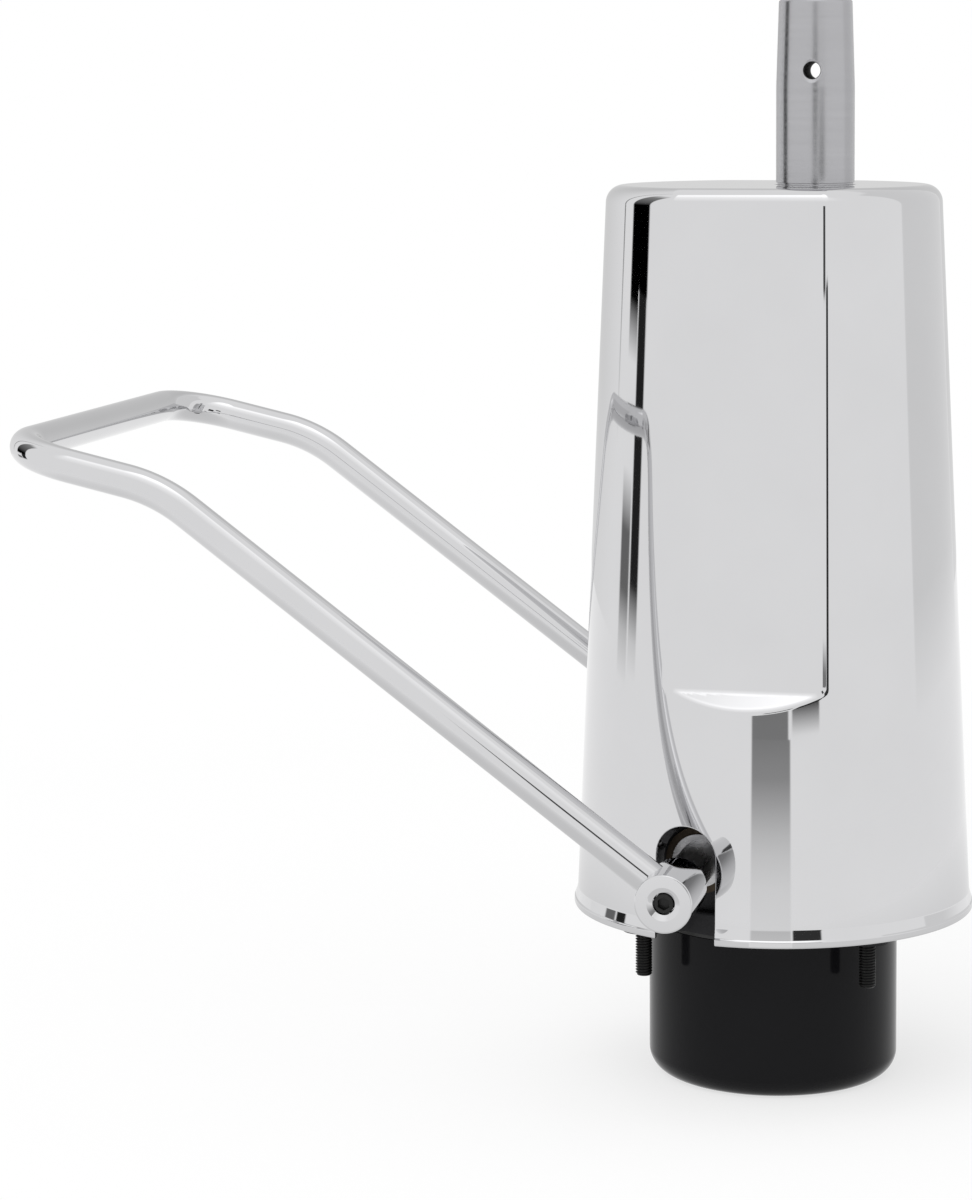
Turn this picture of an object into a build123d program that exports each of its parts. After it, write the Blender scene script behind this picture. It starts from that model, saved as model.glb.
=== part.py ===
from build123d import *
import math
import os

# Hydraulic lift pump of a salon chair, with its foot bar.
# Millimetres, +Z up. The origin is the centre of the bolt pattern on the underside of the flange.
# The foot bar points to -X, its pivot lies along Y, and the ram stands at +X of the canister's axis.

# Clearances
fixed_fit = 0.02        # radial gap of pressed and screwed pieces
running_fit = 0.05      # radial gap of turning and sliding fits
free_gap = 0.3          # gap between moving pieces that meet only in use
drill_radius = 1.5      # oil galleries

# Oil canister
canister_radius = 45.0
canister_wall = 2.5
canister_depth = 58.2
canister_edge = 8.0
gasket_thick = 1.5

# Pump block: a flange with four ears, cheeks for the pivot and a boss that holds the valves
flange_radius = 46.0
flange_thick = 8.0
flange_edge = 1.0
ear_width = 15.0
ear_root = 5.0
spigot_depth = 10.0
tower_wall = 6.0
tower_height = 44.0
cheek_radius = 13.0
cheek_thick = 17.7
cheek_foot = 26.0
pocket_width = 40.6
pocket_wall = 2.0
valve_boss_depth = 42.0
valve_boss_width = 48.0
valve_boss_inset = 1.5

# Mounting bolts
bolt_spacing = 80.0
bolt_radius = 3.0
bolt_hole_clearance = 0.3
bolt_reach = 16.2
bolt_shank_radius = 2.65
bolt_relief = 0.3
bolt_head_across = 10.0
bolt_head_height = 4.0
bolt_tip = 0.6
washer_radius = 6.0
washer_thick = 1.2

# Ram cylinder
ram_offset = 15.0
cylinder_bore = 17.0
cylinder_wall = 4.0
cylinder_bottom = -36.0
cylinder_top = 240.0
foot_plug_top = -24.0
foot_plug_flange = 3.0

# Ram
ram_radius = 14.0
ram_step = 0.1
ram_top = 330.0
ram_bottom = -3.5
ram_groove_bottom = 264.4
ram_groove_width = 0.6
ram_groove_depth = 0.5
taper_length = 30.7
taper_top_radius = 13.1
ram_chamfer = 1.0
cross_hole_radius = 3.0
cross_hole_mouth = 4.5
cross_hole_sink = 1.6
cross_hole_slope = 60.0
cross_hole_down = 25.1
ram_rest_turn = 3.0
ram_stroke = 140.0
ram_spigot_radius = 8.0

# Piston
piston_top = -5.0
piston_bottom = -19.0
seal_thick = 3.5
seal_width = 3.0
band_thick = 1.5
band_width = 3.0
ring_gap = 2.0
clip_thick = 1.2
clip_depth = 0.8
clip_width = 2.5

# Gland at the head of the cylinder
bush_length = 30.0
bush_inset = 4.0
gland_wall = 4.0
gland_thread = 12.0
rod_seal_height = 7.0
rod_seal_width = 4.0
gland_plate = 11.0
wiper_height = 5.0
wiper_width = 3.0
wiper_lip = 1.0

# Chrome cover
cover_top_radius = 60.0
cover_top = 264.3
cover_draft = 2.47
cover_wall = 1.8
cover_rim = 3.4
cover_lip_radius = 72.3
cover_lip_height = 3.4
cover_flare = 4.5
cover_lip_edge = 0.8
cover_shoulder = 6.3
facet_depth = 6.2
ledge_line = 152.6
ledge_round = 9.0
slot_width = 22.0
slot_top = 43.7
ram_hole_gap = 0.6
pad_radius = 24.0
pad_squeeze = 0.05

# Pivot shaft and hubs
pivot_x = -20.0
pivot_z = 26.0
shaft_radius = 7.0
shaft_flat = 5.5
hub_radius = 10.0
hub_length = 28.0
hub_wall = 7.0
hub_edge = 0.8
hub_sink_radius = 4.8
hub_sink_depth = 5.0
screw_head_radius = 3.45
screw_head_height = 3.8
screw_radius = 2.0
screw_length = 14.0
hex_across = 4.0
hex_depth = 2.2
bush_wall = 2.5
bush_flange = 1.5
bush_flange_radius = 12.0

# Foot bar
bar_radius = 6.0
bar_spacing = 187.0
arm_angle = 36.6
arm_length = 225.4
tread_angle = 12.9
tread_length = 57.8
bend_radius = 60.0
corner_radius = 24.0

# Cam on the pivot shaft: an involute that drives the plunger at a constant rate
pedal_travel = 30.0
cam_base_radius = 12.0
cam_rest_drop = 10.0
cam_hub_radius = 11.0
cam_thick = 12.0
cam_lead_in = 30.0
cam_run_out = 3.0
cam_back = 9.0
cam_points = 7
cam_pin_radius = 2.0
cam_pin_inset = 0.5
finger_nose = 4.0
finger_drop = 11.0
finger_thick = 6.0

# Plunger
plunger_radius = 4.0
plunger_bottom = -21.0
cap_radius = 6.5
cap_thick = 3.0
cap_spigot_radius = 3.0
spring_pocket_radius = 8.5
spring_seat = -6.0
gland_ring = 4.0
barrel_radius = 8.0
barrel_bottom = -28.0
plunger_seal_radius = 6.0
plunger_seal_height = 3.0
spring_wire = 1.2
spring_turns = 6
spring_side_gap = 0.7

# Suction valve under the plunger
suction_chamber_radius = 4.5
suction_chamber_bottom = -36.0
suction_plug_radius = 6.0
suction_head = 4.0
suction_head_across = 15.0
suction_bore_radius = 1.6
ball_radius = 2.5
strainer_radius = 6.5
strainer_wall = 0.8
strainer_floor_gap = 1.7

# Delivery valve between the plunger and the ram cylinder
delivery_x = -15.0
delivery_radius = 3.5
delivery_top = -10.5
delivery_seat_top = -24.5
delivery_seat_thick = 3.0
delivery_gallery = -21.5
pump_gallery = -30.0
small_wire = 0.7
small_turns = 5
delivery_plug_radius = 5.0
delivery_plug_length = 6.0
delivery_plug_head = 3.0
delivery_plug_across = 10.0

# Release valve
release_x = -28.0
release_y = 15.0
release_radius = 3.0
release_head_radius = 4.5
release_head_thick = 2.5
release_pocket_radius = 5.5
release_pocket_floor = -4.0
release_guide_bottom = -14.0
release_tip = -16.0
release_chamber_radius = 3.5
release_plug_radius = 4.5
release_plug_top = -23.5
release_plug_length = 9.0
release_plug_head = 3.0
release_plug_across = 10.0

# Filler plug
filler_x = 10.0
filler_y = 35.0
filler_radius = 4.0
filler_length = 14.0
filler_across = 11.0
filler_head = 4.0
filler_washer_thick = 1.0
filler_washer_radius = 6.5

# Places that follow from the sizes above
canister_bore = canister_radius - canister_wall
spigot_radius = canister_bore - fixed_fit
cylinder_radius = cylinder_bore + cylinder_wall
ram_guide_radius = ram_radius + ram_step
ram_axis = (ram_offset, 0)
shaft_end = bar_spacing / 2 + hub_length / 2 - hub_wall
hub_inner_end = bar_spacing / 2 - hub_length / 2
cheek_outer = pocket_width / 2 + cheek_thick
plunger_at = (pivot_x - cam_base_radius, 0)
delivery_at = (delivery_x, 0)
release_at = (release_x, release_y)
filler_at = (filler_x, filler_y)
bolt_reach_radius = bolt_spacing / math.sqrt(2)
cap_top = pivot_z - cam_rest_drop - free_gap / 2
draft_slope = math.tan(math.radians(cover_draft))
half_bolt = bolt_spacing / 2
bolt_places = [(x, y) for x in (half_bolt, -half_bolt) for y in (half_bolt, -half_bolt)]


def bar(at, radius, bottom, top, mode=Mode.ADD):
    """An upright round bar between two heights."""
    with BuildSketch(Plane.XY.offset(bottom)) as disc:
        with Locations(at):
            Circle(radius)
    extrude(disc.sketch, amount=top - bottom, mode=mode)


def ring(at, outer, inner, bottom, top):
    """An upright ring between two heights."""
    with BuildSketch(Plane.XY.offset(bottom)) as disc:
        with Locations(at):
            Circle(outer)
            Circle(inner, mode=Mode.SUBTRACT)
    extrude(disc.sketch, amount=top - bottom)


def hex_bar(at, across, bottom, top):
    """An upright hexagonal bar, given the width across its flats."""
    with BuildSketch(Plane.XY.offset(bottom)) as disc:
        with Locations(at):
            RegularPolygon(across / 2, 6, major_radius=False)
    extrude(disc.sketch, amount=top - bottom)


def across_shaft(side, distance):
    """A plane square to the pivot shaft, at a distance from the middle, facing outwards."""
    return Plane(
        origin=(pivot_x, side * distance, pivot_z), x_dir=(1, 0, 0), z_dir=(0, side, 0)
    )


def shaft_round(radius, side, start, end, mode=Mode.ADD):
    """A round bar on the pivot axis, from one distance from the middle to another."""
    with BuildSketch(across_shaft(side, start)) as disc:
        Circle(radius)
    extrude(disc.sketch, amount=end - start, mode=mode)


def finish(piece, name):
    """Label a finished piece and write it."""
    piece.part.label = name
    export_step(piece.part, f"parts/{name}.step")


os.makedirs("parts", exist_ok=True)

# Oil canister: a drawn cup that hangs below the flange
with BuildPart() as oil_canister:
    with BuildSketch(Plane.XZ):
        with BuildLine():
            Polyline(
                (0, -canister_depth),
                (canister_radius, -canister_depth),
                (canister_radius, -gasket_thick),
                (canister_bore, -gasket_thick),
                (canister_bore, canister_wall - canister_depth),
                (0, canister_wall - canister_depth),
                close=True,
            )
        make_face()
    revolve(axis=Axis.Z)
    outer_edge = oil_canister.edges().filter_by(GeomType.CIRCLE).group_by(Axis.Z)[0]
    fillet(outer_edge, canister_edge)
    inner_edge = oil_canister.edges().filter_by(GeomType.CIRCLE).filter_by(
        lambda edge: abs(edge.center().Z - canister_wall + canister_depth) < canister_wall / 10
    )
    fillet(inner_edge, canister_edge - canister_wall)
finish(oil_canister, "oil_canister")

with BuildPart() as canister_gasket:
    ring((0, 0), canister_radius, canister_bore, -gasket_thick, 0)
finish(canister_gasket, "canister_gasket")

# Pump block
with BuildPart() as pump_block:
    with BuildSketch() as flange_outline:
        Circle(flange_radius)
        for turn in (45, -45):
            SlotOverall(2 * bolt_reach_radius + ear_width, ear_width, rotation=turn)
        roots = flange_outline.vertices().filter_by(
            lambda corner: corner.center().length < flange_radius + ear_root / 2
        )
        fillet(roots, ear_root)
    extrude(amount=flange_thick)
    fillet(pump_block.faces().sort_by(Axis.Z)[-1].edges(), flange_edge)
    bar((0, 0), spigot_radius, -spigot_depth, 0)
    bar(ram_axis, cylinder_radius + tower_wall, flange_thick, tower_height)
    for side in (1, -1):
        with BuildSketch(across_shaft(side, pocket_width / 2)) as cheek:
            Circle(cheek_radius)
            with Locations((0, side * (pivot_z - flange_thick / 2))):
                Rectangle(cheek_foot, flange_thick)
            make_hull()
        extrude(cheek.sketch, amount=cheek_thick)
    with BuildSketch(Plane.XY.offset(-valve_boss_depth)) as boss:
        Circle(spigot_radius - valve_boss_inset)
        with Locations((-spigot_radius / 2, 0)):
            Rectangle(spigot_radius * 1.2, valve_boss_width, mode=Mode.INTERSECT)
    extrude(boss.sketch, amount=valve_boss_depth)

    # Room for the cam between the cheeks
    pocket_end = ram_offset - cylinder_radius - pocket_wall
    with BuildSketch(Plane.XY.offset(flange_thick)) as pocket:
        with Locations((pocket_end, 0)):
            Rectangle(2 * flange_radius, pocket_width, align=(Align.MAX, Align.CENTER))
    extrude(pocket.sketch, amount=tower_height, mode=Mode.SUBTRACT)

    # Bores for the cylinder, the pivot bushes and the bolts
    bar(ram_axis, cylinder_radius + fixed_fit, -valve_boss_depth, tower_height, Mode.SUBTRACT)
    for side in (1, -1):
        bush_bore = shaft_radius + running_fit + bush_wall + fixed_fit
        shaft_round(bush_bore, side, 0, cheek_outer, Mode.SUBTRACT)
    for place in bolt_places:
        bar(place, bolt_radius + bolt_hole_clearance, 0, flange_thick, Mode.SUBTRACT)

    # Plunger bore, widest at the top where its spring stands
    bar(plunger_at, spring_pocket_radius, spring_seat - gland_ring, flange_thick, Mode.SUBTRACT)
    bar(plunger_at, barrel_radius + fixed_fit, barrel_bottom, spring_seat, Mode.SUBTRACT)
    bar(plunger_at, suction_chamber_radius, suction_chamber_bottom, barrel_bottom, Mode.SUBTRACT)
    bar(
        plunger_at, suction_plug_radius + fixed_fit,
        -valve_boss_depth, suction_chamber_bottom, Mode.SUBTRACT,
    )

    # Delivery valve bore and the galleries to and from it
    bar(delivery_at, delivery_radius, -valve_boss_depth, delivery_top, Mode.SUBTRACT)
    bar(
        delivery_at, delivery_plug_radius + fixed_fit,
        -valve_boss_depth, delivery_plug_length - valve_boss_depth, Mode.SUBTRACT,
    )
    gallery_start = plunger_at[0]
    with BuildSketch(Plane.YZ.offset(gallery_start)) as galleries:
        with Locations((0, pump_gallery)):
            Circle(drill_radius)
    extrude(galleries.sketch, amount=delivery_x - gallery_start, mode=Mode.SUBTRACT)
    with BuildSketch(Plane.YZ.offset(delivery_x)) as gallery_to_ram:
        with Locations((0, delivery_gallery)):
            Circle(drill_radius)
    extrude(gallery_to_ram.sketch, amount=ram_offset - delivery_x, mode=Mode.SUBTRACT)

    # Release valve bore
    bar(release_at, release_pocket_radius, release_pocket_floor, flange_thick, Mode.SUBTRACT)
    bar(release_at, release_radius + running_fit, release_guide_bottom, 0, Mode.SUBTRACT)
    bar(release_at, release_chamber_radius, -valve_boss_depth, release_guide_bottom, Mode.SUBTRACT)
    bar(
        release_at, release_plug_radius + fixed_fit,
        -valve_boss_depth, release_plug_length - valve_boss_depth, Mode.SUBTRACT,
    )
    release_line = Plane(
        origin=(*release_at, delivery_gallery),
        z_dir=(delivery_x - release_x, -release_y, 0),
    )
    with BuildSketch(release_line) as release_gallery:
        Circle(drill_radius)
    extrude(
        release_gallery.sketch,
        amount=math.hypot(delivery_x - release_x, release_y), mode=Mode.SUBTRACT,
    )

    # Filler hole
    bar(filler_at, filler_radius + fixed_fit, -spigot_depth, flange_thick, Mode.SUBTRACT)
finish(pump_block, "pump_block")

# Bolts that hold the pump to the chair's base
with BuildPart() as bolt_washers:
    for place in bolt_places:
        ring(
            place, washer_radius, bolt_radius + bolt_hole_clearance,
            flange_thick, flange_thick + washer_thick,
        )
finish(bolt_washers, "bolt_washers")

with BuildPart() as mounting_bolts:
    head_bottom = flange_thick + washer_thick
    for place in bolt_places:
        hex_bar(place, bolt_head_across, head_bottom, head_bottom + bolt_head_height)
        bar(place, bolt_radius, -bolt_reach, -bolt_relief)
        bar(place, bolt_shank_radius, -bolt_relief, head_bottom)
    chamfer(mounting_bolts.faces().group_by(Axis.Z)[0].edges(), bolt_tip)
finish(mounting_bolts, "mounting_bolts")

# Ram cylinder, its foot plug and their seal
with BuildPart() as ram_cylinder:
    ring(ram_axis, cylinder_radius, cylinder_bore, cylinder_bottom, cylinder_top)
    with BuildSketch(Plane.YZ.offset(ram_offset)) as port:
        with Locations((0, delivery_gallery)):
            Circle(drill_radius)
    extrude(port.sketch, amount=-cylinder_radius * 1.2, mode=Mode.SUBTRACT)
finish(ram_cylinder, "ram_cylinder")

foot_groove_bottom = (cylinder_bottom + foot_plug_top - seal_width) / 2
foot_groove_top = foot_groove_bottom + seal_width
foot_bore = cylinder_bore - fixed_fit
with BuildPart() as foot_plug:
    bar(ram_axis, foot_bore, cylinder_bottom, foot_plug_top)
    bar(ram_axis, cylinder_radius, cylinder_bottom - foot_plug_flange, cylinder_bottom)
    with BuildSketch(Plane.XY.offset(foot_groove_bottom)) as groove:
        with Locations(ram_axis):
            Circle(foot_bore)
            Circle(foot_bore - seal_thick, mode=Mode.SUBTRACT)
    extrude(groove.sketch, amount=seal_width, mode=Mode.SUBTRACT)
finish(foot_plug, "foot_plug")

with BuildPart() as foot_seal:
    ring(ram_axis, foot_bore, foot_bore - seal_thick, foot_groove_bottom, foot_groove_top)
finish(foot_seal, "foot_seal")

# Guide bush, stop sleeve, seal, gland nut and wiper at the head of the cylinder
bush_top = cylinder_top - bush_inset
bush_bottom = bush_top - bush_length
sleeve_radius = cylinder_bore - fixed_fit
ram_clear = ram_guide_radius + free_gap
with BuildPart() as guide_bush:
    ring(ram_axis, sleeve_radius, ram_guide_radius + running_fit, bush_bottom, bush_top)
finish(guide_bush, "guide_bush")

with BuildPart() as stop_sleeve:
    ring(ram_axis, sleeve_radius, ram_clear, piston_top + ram_stroke + free_gap, bush_bottom)
finish(stop_sleeve, "stop_sleeve")

seal_bore = ram_guide_radius + running_fit
with BuildPart() as rod_seal:
    ring(ram_axis, seal_bore + rod_seal_width, seal_bore, cylinder_top, cylinder_top + rod_seal_height)
finish(rod_seal, "rod_seal")

gland_top = cylinder_top + rod_seal_height + gland_plate
with BuildPart() as gland_nut:
    gland_radius = cylinder_radius + gland_wall
    bar(ram_axis, gland_radius, cylinder_top - gland_thread, gland_top)
    bar(
        ram_axis, cylinder_radius + fixed_fit,
        cylinder_top - gland_thread, cylinder_top, Mode.SUBTRACT,
    )
    bar(
        ram_axis, seal_bore + rod_seal_width + fixed_fit,
        cylinder_top, cylinder_top + rod_seal_height, Mode.SUBTRACT,
    )
    bar(ram_axis, ram_clear, cylinder_top, gland_top, Mode.SUBTRACT)
    bar(
        ram_axis, seal_bore + wiper_width + fixed_fit,
        gland_top - wiper_height, gland_top, Mode.SUBTRACT,
    )
    chamfer(gland_nut.faces().sort_by(Axis.Z)[-1].outer_wire().edges(), 1.0)
finish(gland_nut, "gland_nut")

with BuildPart() as wiper_ring:
    ring(ram_axis, seal_bore + wiper_width, seal_bore, gland_top - wiper_height, gland_top)
    ring(
        ram_axis, seal_bore + wiper_width / 2, seal_bore, gland_top, gland_top + wiper_lip
    )
finish(wiper_ring, "wiper_ring")

# Piston, which slides, and the ram, which turns on it
spigot_end = piston_bottom - clip_thick - clip_depth - free_gap
piston_radius = cylinder_bore - running_fit
seal_groove_bottom = piston_bottom + ring_gap
band_groove_top = piston_top - ring_gap
band_groove_bottom = band_groove_top - band_width
with BuildPart() as piston:
    bar(ram_axis, piston_radius, piston_bottom, piston_top)
    bar(ram_axis, ram_spigot_radius + running_fit, piston_bottom, piston_top, Mode.SUBTRACT)
    with BuildSketch(Plane.XY.offset(seal_groove_bottom)) as seal_groove:
        with Locations(ram_axis):
            Circle(piston_radius)
            Circle(piston_radius - seal_thick, mode=Mode.SUBTRACT)
    extrude(seal_groove.sketch, amount=seal_width, mode=Mode.SUBTRACT)
    with BuildSketch(Plane.XY.offset(band_groove_bottom)) as band_groove:
        with Locations(ram_axis):
            Circle(piston_radius)
            Circle(piston_radius - band_thick, mode=Mode.SUBTRACT)
    extrude(band_groove.sketch, amount=band_width, mode=Mode.SUBTRACT)
finish(piston, "piston")

with BuildPart() as piston_seal:
    ring(
        ram_axis, piston_radius, piston_radius - seal_thick,
        seal_groove_bottom, seal_groove_bottom + seal_width,
    )
finish(piston_seal, "piston_seal")

with BuildPart() as piston_band:
    ring(
        ram_axis, piston_radius, piston_radius - band_thick,
        band_groove_bottom, band_groove_top,
    )
finish(piston_band, "piston_band")

with BuildPart() as thrust_washer:
    ring(
        ram_axis, ram_radius, ram_spigot_radius + running_fit,
        piston_top, ram_bottom - running_fit,
    )
finish(thrust_washer, "thrust_washer")

clip_groove_radius = ram_spigot_radius - clip_depth
clip_bottom = piston_bottom - running_fit - clip_thick
with BuildPart() as ram:
    with BuildSketch(Plane.XZ):
        with BuildLine():
            Polyline(
                (0, spigot_end),
                (ram_spigot_radius, spigot_end),
                (ram_spigot_radius, clip_bottom),
                (clip_groove_radius, clip_bottom),
                (clip_groove_radius, clip_bottom + clip_thick),
                (ram_spigot_radius, clip_bottom + clip_thick),
                (ram_spigot_radius, ram_bottom),
                (ram_guide_radius, ram_bottom),
                (ram_guide_radius, ram_groove_bottom),
                (ram_radius - ram_groove_depth, ram_groove_bottom),
                (ram_radius - ram_groove_depth, ram_groove_bottom + ram_groove_width),
                (ram_radius, ram_groove_bottom + ram_groove_width),
                (ram_radius, ram_top - taper_length),
                (taper_top_radius, ram_top - ram_chamfer),
                (taper_top_radius - ram_chamfer, ram_top),
                (0, ram_top),
                close=True,
            )
        make_face()
    revolve(axis=Axis.Z)
    cross_axis = Plane(
        origin=(0, 0, ram_top - cross_hole_down),
        z_dir=Vector(0, 1, 0).rotate(Axis.Z, ram_rest_turn),
    )
    with BuildSketch(cross_axis) as cross_hole:
        Circle(cross_hole_radius)
    extrude(cross_hole.sketch, amount=2 * ram_radius, both=True, mode=Mode.SUBTRACT)
    for side in (1, -1):
        mouth_plane = Plane(
            origin=cross_axis.origin + cross_axis.z_dir * side * ram_radius,
            x_dir=cross_axis.x_dir,
            z_dir=cross_axis.z_dir * -side,
        )
        with BuildSketch(mouth_plane) as mouth:
            Circle(cross_hole_mouth)
        with BuildSketch(mouth_plane.offset(cross_hole_sink)) as mouth_end:
            Circle(cross_hole_mouth - cross_hole_sink * math.tan(math.radians(cross_hole_slope)))
        loft([mouth.sketch.face(), mouth_end.sketch.face()], mode=Mode.SUBTRACT)
ram.part.position = (ram_offset, 0, 0)
finish(ram, "ram")

with BuildPart() as ram_clip:
    ring(
        ram_axis, ram_spigot_radius + clip_width, clip_groove_radius + fixed_fit,
        clip_bottom + fixed_fit, clip_bottom + clip_thick - fixed_fit,
    )
finish(ram_clip, "ram_clip")


def cover_radius(height):
    """Outer radius of the cover's cone at a height."""
    return cover_top_radius + (cover_top - height) * draft_slope


def cover_form(inset):
    """The cover's outer form, or with an inset of the wall, the form of its hollow."""
    slant = inset / math.cos(math.radians(cover_draft))
    roof = cover_top - inset
    lip_top = cover_rim + cover_lip_height
    flare_top = lip_top + cover_flare
    with BuildPart() as form:
        with BuildSketch(Plane.XZ) as half_section:
            with BuildLine():
                if inset > 0:
                    Polyline(
                        (0, 0),
                        (cover_radius(0) - slant, 0),
                        (cover_radius(roof) - slant, roof),
                        (0, roof),
                        close=True,
                    )
                else:
                    Polyline(
                        (0, cover_rim),
                        (cover_lip_radius, cover_rim),
                        (cover_lip_radius, lip_top),
                        (cover_radius(flare_top), flare_top),
                        (cover_radius(roof), roof),
                        (0, roof),
                        close=True,
                    )
            make_face()
            lip = half_section.vertices().filter_by(
                lambda corner: corner.X > cover_lip_radius - cover_lip_edge / 10
            )
            chamfer(lip, cover_lip_edge)
        revolve(axis=Axis.Z)
        # The flats are cut parallel to the cone's slope and end below in a sloping ledge
        ledge = ledge_line - inset * math.sqrt(2)
        flat_at_zero = cover_radius(0) - facet_depth - slant
        corner_z = (ledge - flat_at_zero) / (1 - draft_slope)
        corner_y = ledge - corner_z
        reach = 2 * cover_top_radius
        above = cover_top + facet_depth
        for side in (1, -1):
            with BuildSketch(Plane.YZ) as flat:
                with BuildLine():
                    Polyline(
                        (side * corner_y, corner_z),
                        (side * (flat_at_zero - above * draft_slope), above),
                        (side * reach, above),
                        (side * reach, ledge - reach),
                        close=True,
                    )
                make_face()
                corner = flat.vertices().sort_by_distance((side * corner_y, corner_z, 0))[0]
                fillet(corner, ledge_round + inset)
            extrude(flat.sketch, amount=reach, both=True, mode=Mode.SUBTRACT)
        fillet(form.faces().sort_by(Axis.Z)[-1].edges(), cover_shoulder - inset)
    return form.part


outer_form = cover_form(0)
hollow_form = cover_form(cover_wall)
with BuildPart() as cover:
    add(outer_form)
    add(hollow_form, mode=Mode.SUBTRACT)
    bar(ram_axis, ram_radius + ram_hole_gap, cover_top - 2 * cover_wall, cover_top, Mode.SUBTRACT)
    slot_round = slot_width / 2
    with BuildSketch(Plane.XZ) as slot:
        with Locations((pivot_x, slot_top - slot_round)):
            Circle(slot_round)
            Rectangle(slot_width, slot_top, align=(Align.CENTER, Align.MAX))
    extrude(slot.sketch, amount=2 * cover_lip_radius, both=True, mode=Mode.SUBTRACT)
finish(cover, "cover")

with BuildPart() as cover_pad:
    ring(
        ram_axis, pad_radius, seal_bore + wiper_width + wiper_lip,
        gland_top, cover_top - cover_wall - pad_squeeze,
    )
finish(cover_pad, "cover_pad")

# Pivot shaft, turned by the foot bar, in two flanged bushes
clip_start = cheek_outer + bush_flange + running_fit
shaft_groove_radius = shaft_radius - clip_depth
with BuildPart() as pivot_shaft:
    for side in (1, -1):
        shaft_round(shaft_radius, side, 0, shaft_end - free_gap)
        with BuildSketch(across_shaft(side, hub_inner_end)) as flat_end:
            with Locations((0, shaft_flat)):
                Rectangle(2 * shaft_radius, shaft_radius, align=(Align.CENTER, Align.MIN))
        extrude(flat_end.sketch, amount=shaft_end, mode=Mode.SUBTRACT)
        shaft_round(screw_radius + fixed_fit, side, shaft_end - screw_length, shaft_end, Mode.SUBTRACT)
        with BuildSketch(across_shaft(side, clip_start)) as clip_groove:
            Circle(shaft_radius)
            Circle(shaft_groove_radius, mode=Mode.SUBTRACT)
        extrude(clip_groove.sketch, amount=clip_thick, mode=Mode.SUBTRACT)
    bar((pivot_x, 0), cam_pin_radius + fixed_fit, 0, 2 * pivot_z, Mode.SUBTRACT)
finish(pivot_shaft, "pivot_shaft")

with BuildPart() as pivot_bushes:
    for side in (1, -1):
        with BuildSketch(across_shaft(side, pocket_width / 2)) as bush:
            Circle(shaft_radius + running_fit + bush_wall)
        extrude(bush.sketch, amount=cheek_thick)
        with BuildSketch(across_shaft(side, cheek_outer)) as flange:
            Circle(bush_flange_radius)
        extrude(flange.sketch, amount=bush_flange)
        shaft_round(shaft_radius + running_fit, side, 0, cheek_outer + bush_flange, Mode.SUBTRACT)
finish(pivot_bushes, "pivot_bushes")

with BuildPart() as shaft_clips:
    for side in (1, -1):
        with BuildSketch(across_shaft(side, clip_start + fixed_fit)) as clip:
            Circle(shaft_radius + clip_width)
            Circle(shaft_groove_radius + fixed_fit, mode=Mode.SUBTRACT)
        extrude(clip.sketch, amount=clip_thick - 2 * fixed_fit)
finish(shaft_clips, "shaft_clips")


def cam_point(turn):
    """The involute's point that bears on the plunger after the shaft has turned so many degrees."""
    angle = math.radians(turn)
    drop = cam_rest_drop + cam_base_radius * angle
    out = cam_base_radius * math.cos(angle) + drop * math.sin(angle)
    up = cam_base_radius * math.sin(angle) - drop * math.cos(angle)
    return (pivot_x - out, pivot_z + up)


def turned_back(out, up, turn):
    """A point beside the shaft, before the shaft has turned so many degrees."""
    angle = math.radians(turn)
    return (
        pivot_x - out * math.cos(angle) + up * math.sin(angle),
        pivot_z + out * math.sin(angle) + up * math.cos(angle),
    )


# Cam: a hub that fills the pocket, the pumping lobe and a finger for the release pin
cam_half = pocket_width / 2 - free_gap
cam_end = pedal_travel + cam_run_out
cam_turns = [-cam_lead_in + (cam_end + cam_lead_in) * i / (cam_points - 1) for i in range(cam_points)]
finger_at = turned_back(pivot_x - release_x, -finger_drop, pedal_travel)
with BuildPart() as cam:
    with BuildSketch(Plane.XZ) as hub_outline:
        with Locations((pivot_x, pivot_z)):
            Circle(cam_hub_radius)
    extrude(hub_outline.sketch, amount=cam_half, both=True)
    with BuildSketch(Plane.XZ) as lobe:
        with BuildLine():
            flank = Spline(*[cam_point(turn) for turn in cam_turns])
            Polyline(
                flank @ 1,
                (pivot_x - cam_back, pivot_z + cam_back / 2),
                (pivot_x, pivot_z),
                flank @ 0,
            )
        make_face()
    extrude(lobe.sketch, amount=cam_thick / 2, both=True)
    with BuildSketch(Plane.XZ.offset(-release_y)) as finger:
        with Locations((pivot_x, pivot_z)):
            Circle(cam_hub_radius)
        with Locations(finger_at):
            Circle(finger_nose)
        make_hull()
    extrude(finger.sketch, amount=finger_thick / 2, both=True)
    for side in (1, -1):
        shaft_round(shaft_radius + fixed_fit, side, 0, cam_half, Mode.SUBTRACT)
    bar((pivot_x, 0), cam_pin_radius + fixed_fit, pivot_z, 2 * pivot_z, Mode.SUBTRACT)
finish(cam, "cam")

with BuildPart() as cam_pin:
    pin_bottom = pivot_z - shaft_radius + cam_pin_inset
    bar((pivot_x, 0), cam_pin_radius, pin_bottom, pivot_z + cam_hub_radius - cam_pin_inset)
finish(cam_pin, "cam_pin")

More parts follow.
